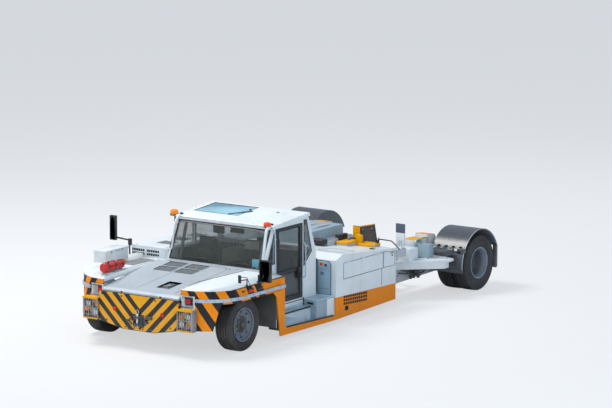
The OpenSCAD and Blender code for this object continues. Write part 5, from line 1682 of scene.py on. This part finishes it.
def make_fender_trim():
    """Beads, flange bolts and brackets of the rear fenders."""
    for _ in both():
        points = []
        for i in range(25):
            turn = math.radians(BEAD_TURN[0] + i * (BEAD_TURN[1] - BEAD_TURN[0]) / 24)
            z = REAR_AXLE_Z + BEAD_R * math.sin(turn)
            if z > BEAD_LOW:
                points.append((2.065, REAR_AXLE_Y + BEAD_R * math.cos(turn), z))
        pipe(points, 0.0095, 10)
    piece("fender_beads", "rail")
    # near-black sockets round the flange bolts: painted shade
    for _ in both():
        for x in FLANGE_BOLTS:
            for z, y in ((0.868, 3.1), (0.8, 3.06)):
                rod((x, y + 0.03, z), (x, y - 0.022, z), 0.03)
    piece("fender_bolt_sockets", "gap_shade_and_black")
    for _ in both():
        for x in FLANGE_BOLTS:
            rod((x, 3.06, 0.835), (x, 3.036, 0.835), 0.012, 6)
    piece("fender_bolts", "galvanised")
    for _ in both():
        for x in (1.415, 1.555, 1.71, 1.865):
            block((x, x + 0.06), (3.04, 3.05), (0.812, 0.858), 0.006)
    piece("fender_strips", "white")
    for _ in both():
        block((2.0, 2.07), (4.2, 4.236), (0.34, 0.7), 0.008)
        block((1.4, 2.04), (4.19, 4.23), (0.6, 0.66), 0.008)
    piece("fender_rear_bars", "grey_plastic")


def make_arm_parts():
    """Blocks, brackets and pins on and under the arms, and covers beside the bay."""
    for _ in both():
        prism([(2.416, 0.747), (2.644, 0.747), (2.644, 1.0), (2.602, 1.064), (2.458, 1.064), (2.416, 1.0)],
              "X", 1.376, 1.42, 0.006)
        prism([(2.436, 0.747), (2.624, 0.747), (2.624, 0.994), (2.456, 1.004)], "X", 1.42, 1.684, 0.01)
    piece("arm_brackets", "teal_paint")
    for _ in both():
        rod((1.36, 2.53, 0.91), (1.45, 2.53, 0.91), 0.05, 28, edge=0.004)
        rod((1.34, 2.53, 0.91), (1.37, 2.53, 0.91), 0.03, 28, edge=0.003)
        prism([(1.41, 2.3), (1.6, 2.46), (1.6, 2.62), (1.41, 2.48)], "Z", 0.7455, 0.752, 0.001)
        for y in (2.35, 2.45):
            block((1.33, 1.37), (y, y + 0.03), (0.34, 0.59), 0.004)
        block((1.47, 1.5), (2.38, 2.44), (0.37, 0.58), 0.004)
        rod((1.3, 2.45, 0.42), (1.5, 2.45, 0.42), 0.022)
        pipe([(1.3, 2.1, 0.54), (1.36, 2.3, 0.5), (1.36, 2.7, 0.46), (1.34, 3.1, 0.5)], 0.016)
        pipe([(1.32, 2.0, 0.5), (1.4, 2.3, 0.45), (1.4, 2.7, 0.42), (1.34, 3.15, 0.56)], 0.013)
    piece("arm_fittings", "dark_metal")
    for _ in both():
        pipe([(1.5, 2.46, 1.0), (1.5, 2.46, 1.1), (1.56, 2.5, 1.12), (1.56, 2.6, 1.1),
              (1.56, 2.6, 1.0)], 0.012)
        for x, y in ((1.36, 2.0), (1.7, 2.4), (1.95, 2.66), (1.36, 2.8)):
            bolt((x, y, 0.745), UP)
    piece("arm_handles", "galvanised")
    for _ in both():
        block((1.24, 1.54), (2.0, 2.26), (0.9645, 0.972), 0.004)
        pipe([(1.3, 2.06, 0.972), (1.3, 2.06, 1.0), (1.3, 2.2, 1.0), (1.3, 2.2, 0.972)], 0.006)
        block((1.015, 1.275), (2.595, 2.5995), (0.78, 0.98))
        for z in (0.8, 0.93):
            bolt((1.561, 2.05, z), SIDEWAYS, 0.009)
            bolt((1.561, 2.22, z), SIDEWAYS, 0.009)
    piece("beam_lids", "white")
    for _ in both():
        prism([(3.03, 1.065), (3.29, 1.0315), (3.29, 1.04), (3.03, 1.073)], "X", 1.03, 1.28, 0.003)
        prism([(2.62, 1.0115), (2.98, 1.0), (2.98, 1.01), (2.62, 1.021)], "X", 1.01, 1.28, 0.003)
    piece("beam_pads", "yellow")


def make_rear_lights():
    """Lamps, reflectors and hooks at the ends of the rear beams."""
    for _ in both():
        block((0.98, 1.27), (4.018, 4.05), (0.42, 0.58), 0.01, 3)
    piece("rear_lamp_housings", "black_plastic")
    for _ in both():
        block((1.16, 1.25), (4.045, 4.062), (0.44, 0.56), 0.012, 3)
        # the round reflector on the fender bar shares the red lens's faint glow: a painted glow
        cap((2.035, 4.2275, 0.52), (0, 0.2, 0), 0.036, 0.012, 0.03)
    piece("rear_lamps_red", "red_lens")
    for _ in both():
        block((1.07, 1.15), (4.045, 4.06), (0.44, 0.56), 0.012, 3)
    piece("rear_lamps_amber", "amber_lens")
    for _ in both():
        for z in (0.4, 0.61):
            bolt((1.12, 4.02, z), BACKWARD)
        hoop((1.03, 4.035, 0.63), SIDEWAYS, 0.03, 0.007)
    piece("rear_hooks", "galvanised")


def make_underside():
    """Hydraulic motor, hoses and bolts under the body."""
    lathe([(0.0, 0.16), (0.08, 0.155), (0.095, 0.14), (0.095, 0.02), (0.12, 0.01), (0.12, 0.0), (0.0, 0.0)],
          (0.0, -3.14, 0.45), BACKWARD, 32)
    for _ in both():
        for y in (-3.24, -3.16):
            bolt((0.6, y, 0.53), UP, 0.014)
            bolt((0.66, y, 0.53), UP, 0.014)
        cap((1.15, -3.2, 0.57), UP, 0.04, 0.02, 0.03)
        for turn in range(6):
            angle = math.tau * turn / 6
            bolt((0.3 + 0.16 * math.cos(angle), -3.26, 0.45 + 0.045 * math.sin(angle)), FORWARD, 0.009)
    piece("axle_motor", "dark_metal")
    for x in (-0.06, 0.0, 0.06):
        pipe([(x, -2.985, 0.46), (x * 2, -2.8, 0.42), (x * 3, -2.5, 0.36), (x * 3, -2.3, 0.33)], 0.014)
    for x in (-0.35, -0.3, 0.3):
        pipe([(x, -2.2, 0.3), (x, -0.5, 0.3), (x + 0.1, 0.6, 0.3), (x + 0.1, 1.2, 0.32)], 0.014)
    piece("under_hoses", "black_plastic")
    for _ in both():
        bolt_row((0.8, -2.2, 0.26), (0.8, 1.1, 0.26), 12, (0, 0, -1), 0.011)
        bolt_row((0.63, -4.0, 0.76), (0.63, -2.4, 0.76), 7, UP, 0.01)
        bolt_row((1.3, 1.7, 0.45), (1.3, 3.2, 0.47), 6, SIDEWAYS, 0.013)
    piece("frame_bolts", "galvanised")


def make_cradle():
    """Ribs and bolts of the cradle, pads of the gates, and plates and bolts of the hold-down."""
    for i in range(9):
        y = 1.9 + i * 0.1
        block((-0.62, 0.62), (y, y + 0.02), (0.5 - i * 0.036, 0.512 - i * 0.036))
    piece("cradle_ribs", "galvanised", body="cradle")
    for _ in both():
        for y, z in ((1.8, 0.5), (2.1, 0.48), (2.4, 0.4), (2.7, 0.34)):
            bolt((0.74, y, z), SIDEWAYS, 0.011)
        cap((0.655, 3.12, 0.44), UP, 0.03, 0.012, 0.022)
    piece("cradle_bolts", "dark_metal", body="cradle")
    for name, Pen.side in (("left_gate", 1), ("right_gate", -1)):
        for x in (0.22, 0.32, 0.42, 0.52):
            block((x - 0.035, x + 0.035), (3.078, 3.095), (0.235, 0.375), 0.008, 3)
        lathe([(0.0, 0.006), (0.03, 0.006), (0.036, 0.0)], (0.12, 3.064, 0.385), UP)
        piece(name + "_pads", "rubber_pad", body=name)
        for x in (0.27, 0.37, 0.47, 0.57):
            bolt((x, 3.145, 0.305), BACKWARD, 0.01)
        piece(name + "_bolts", "dark_metal", body=name)
    Pen.side = 1
    for _ in both():
        block((0.648, 0.804), (1.494, 1.4975), (1.07, 1.39), 0.002)
        prism([(0.79, 1.395), (1.095, 1.47), (1.092, 1.452), (0.79, 1.377)], "Y", 1.508, 1.552, 0.003)
    piece("paddle_plates", "yellow", body="hold_down")
    for _ in both():
        for x, z in ((0.86, 1.12), (1.05, 1.12), (0.86, 1.34), (1.05, 1.38)):
            bolt((x, 1.512, z), FORWARD, 0.013)
        for x in (0.68, 0.9, 1.0):
            rod((x, 1.53, 1.06), (x + 0.03, 1.53, 1.06), 0.045, 24)
    piece("paddle_bolts", "galvanised", body="hold_down")
    for _ in both():
        rod((0.77, 1.54, 0.88), (0.762, 1.54, 0.88), 0.034, 20)
        rod((0.89, 1.54, 0.88), (0.9, 1.54, 0.88), 0.03, 20)
    piece("lift_pin_caps", "steel_rod")


def main():
    """Registers the add-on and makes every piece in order."""
    register()
    for operator in OPERATORS:
        group, name = operator.bl_idname.split(".")
        getattr(getattr(bpy.ops, group), name)()


class TRACTOR_PT_panel(bpy.types.Panel):
    """Sizes, colours and the operators"""

    bl_idname = "TRACTOR_PT_panel"
    bl_label = "Pushback tractor"
    bl_space_type = "VIEW_3D"
    bl_region_type = "UI"
    bl_category = "Tractor"

    def draw(self, context):
        for group in (context.scene.tractor_sizes, context.scene.tractor_colours):
            for name in group.__annotations__:
                self.layout.prop(group, name)
        for operator in OPERATORS:
            self.layout.operator(operator.bl_idname)


# Operators, one for each group of pieces
class TRACTOR_OT_materials(bpy.types.Operator):
    """Paints, plastics, glass and rubber"""

    bl_idname = "tractor.materials"
    bl_label = "Materials"

    def execute(self, context):
        make_materials()
        return {"FINISHED"}


class TRACTOR_OT_stage(bpy.types.Operator):
    """Floor, lights and camera"""

    bl_idname = "tractor.stage"
    bl_label = "Stage"

    def execute(self, context):
        make_floor()
        make_lights(context.scene)
        make_camera(context.scene)
        return {"FINISHED"}


class TRACTOR_OT_skins(bpy.types.Operator):
    """Finishes of the solids that keep their own shape"""

    bl_idname = "tractor.skins"
    bl_label = "Body skins"

    def execute(self, context):
        make_skins()
        return {"FINISHED"}


class TRACTOR_OT_tyres(bpy.types.Operator):
    """Tyres with ribs, grooves and shoulder blocks"""

    bl_idname = "tractor.tyres"
    bl_label = "Tyres"

    def execute(self, context):
        make_tyres()
        return {"FINISHED"}


class TRACTOR_OT_wheels(bpy.types.Operator):
    """Nuts, hub caps, valves and rim beads of the wheels"""

    bl_idname = "tractor.wheels"
    bl_label = "Wheel fittings"

    def execute(self, context):
        make_wheel_trim()
        return {"FINISHED"}


class TRACTOR_OT_front(bpy.types.Operator):
    """Lamps, guards, reflectors and jaw pin at the front"""

    bl_idname = "tractor.front"
    bl_label = "Front fittings"

    def execute(self, context):
        make_head_lamps()
        make_front_trim()
        make_jaw_pin()
        return {"FINISHED"}


class TRACTOR_OT_hood(bpy.types.Operator):
    """Grilles, latch, ribs and bolts of the hood"""

    bl_idname = "tractor.hood"
    bl_label = "Hood trim"

    def execute(self, context):
        make_hood_trim()
        return {"FINISHED"}


class TRACTOR_OT_fenders(bpy.types.Operator):
    """Arch lips, niche frames, rail bolts, seams and the grip mat, and dark sheets of painted shade in the
    wheel wells
    """

    bl_idname = "tractor.fenders"
    bl_label = "Front fender trim"

    def execute(self, context):
        make_front_fenders()
        return {"FINISHED"}


class TRACTOR_OT_extinguishers(bpy.types.Operator):
    """Fire extinguishers with valves, hose and straps"""

    bl_idname = "tractor.extinguishers"
    bl_label = "Fire extinguishers"

    def execute(self, context):
        make_extinguishers()
        return {"FINISHED"}


class TRACTOR_OT_boxes(bpy.types.Operator):
    """Latches, handles and louvres of the toolbox and the engine cover"""

    bl_idname = "tractor.boxes"
    bl_label = "Toolbox and engine cover trim"

    def execute(self, context):
        make_boxes()
        return {"FINISHED"}


class TRACTOR_OT_windows(bpy.types.Operator):
    """Gaskets of the windows, then the roof pane, wipers, posts and roof trim"""

    bl_idname = "tractor.windows"
    bl_label = "Window trim"

    def execute(self, context):
        make_windows()
        return {"FINISHED"}


class TRACTOR_OT_door(bpy.types.Operator):
    """Slate lower panel, handle and seal of the cab door"""

    bl_idname = "tractor.door"
    bl_label = "Cab door"

    def execute(self, context):
        make_door()
        return {"FINISHED"}


class TRACTOR_OT_interior(bpy.types.Operator):
    """Seat, instruments and lining inside the cab"""

    bl_idname = "tractor.interior"
    bl_label = "Cab interior"

    def execute(self, context):
        make_seat()
        make_instruments()
        return {"FINISHED"}


class TRACTOR_OT_mirrors(bpy.types.Operator):
    """Rounded mirror housings on their arms, with glass facing back"""

    bl_idname = "tractor.mirrors"
    bl_label = "Mirrors"

    def execute(self, context):
        make_mirrors()
        return {"FINISHED"}


class TRACTOR_OT_side(bpy.types.Operator):
    """Steps, control panel, grille and seams on the left side"""

    bl_idname = "tractor.side"
    bl_label = "Left side"

    def execute(self, context):
        make_left_side()
        return {"FINISHED"}


class TRACTOR_OT_deck(bpy.types.Operator):
    """Covers, blocks, hoses and the post on the deck behind the cab"""

    bl_idname = "tractor.deck"
    bl_label = "Deck"

    def execute(self, context):
        make_deck()
        return {"FINISHED"}


class TRACTOR_OT_rear(bpy.types.Operator):
    """Arms, fender beads, brackets and lights round the rear wheels"""

    bl_idname = "tractor.rear"
    bl_label = "Rear fittings"

    def execute(self, context):
        make_fender_trim()
        make_arm_parts()
        make_rear_lights()
        return {"FINISHED"}


class TRACTOR_OT_underside(bpy.types.Operator):
    """Hydraulic motor, hoses and bolts under the body"""

    bl_idname = "tractor.underside"
    bl_label = "Underside"

    def execute(self, context):
        make_underside()
        return {"FINISHED"}


class TRACTOR_OT_cradle(bpy.types.Operator):
    """Ribs and bolts of the cradle, pads of the gates, and plates and bolts of the hold-down"""

    bl_idname = "tractor.cradle"
    bl_label = "Cradle and gates"

    def execute(self, context):
        make_cradle()
        return {"FINISHED"}


OPERATORS = [
    TRACTOR_OT_materials, TRACTOR_OT_stage, TRACTOR_OT_skins, TRACTOR_OT_tyres, TRACTOR_OT_wheels,
    TRACTOR_OT_front, TRACTOR_OT_hood, TRACTOR_OT_fenders, TRACTOR_OT_extinguishers, TRACTOR_OT_boxes,
    TRACTOR_OT_windows, TRACTOR_OT_door, TRACTOR_OT_interior, TRACTOR_OT_mirrors, TRACTOR_OT_side,
    TRACTOR_OT_deck, TRACTOR_OT_rear, TRACTOR_OT_underside, TRACTOR_OT_cradle,
]


def register():
    for item in [TractorSizes, TractorColours, TRACTOR_PT_panel] + OPERATORS:
        bpy.utils.register_class(item)
    bpy.types.Scene.tractor_sizes = bpy.props.PointerProperty(type=TractorSizes)
    bpy.types.Scene.tractor_colours = bpy.props.PointerProperty(type=TractorColours)


def unregister():
    del bpy.types.Scene.tractor_sizes
    del bpy.types.Scene.tractor_colours
    for item in reversed([TractorSizes, TractorColours, TRACTOR_PT_panel] + OPERATORS):
        bpy.utils.unregister_class(item)


if __name__ == "__main__":
    main()
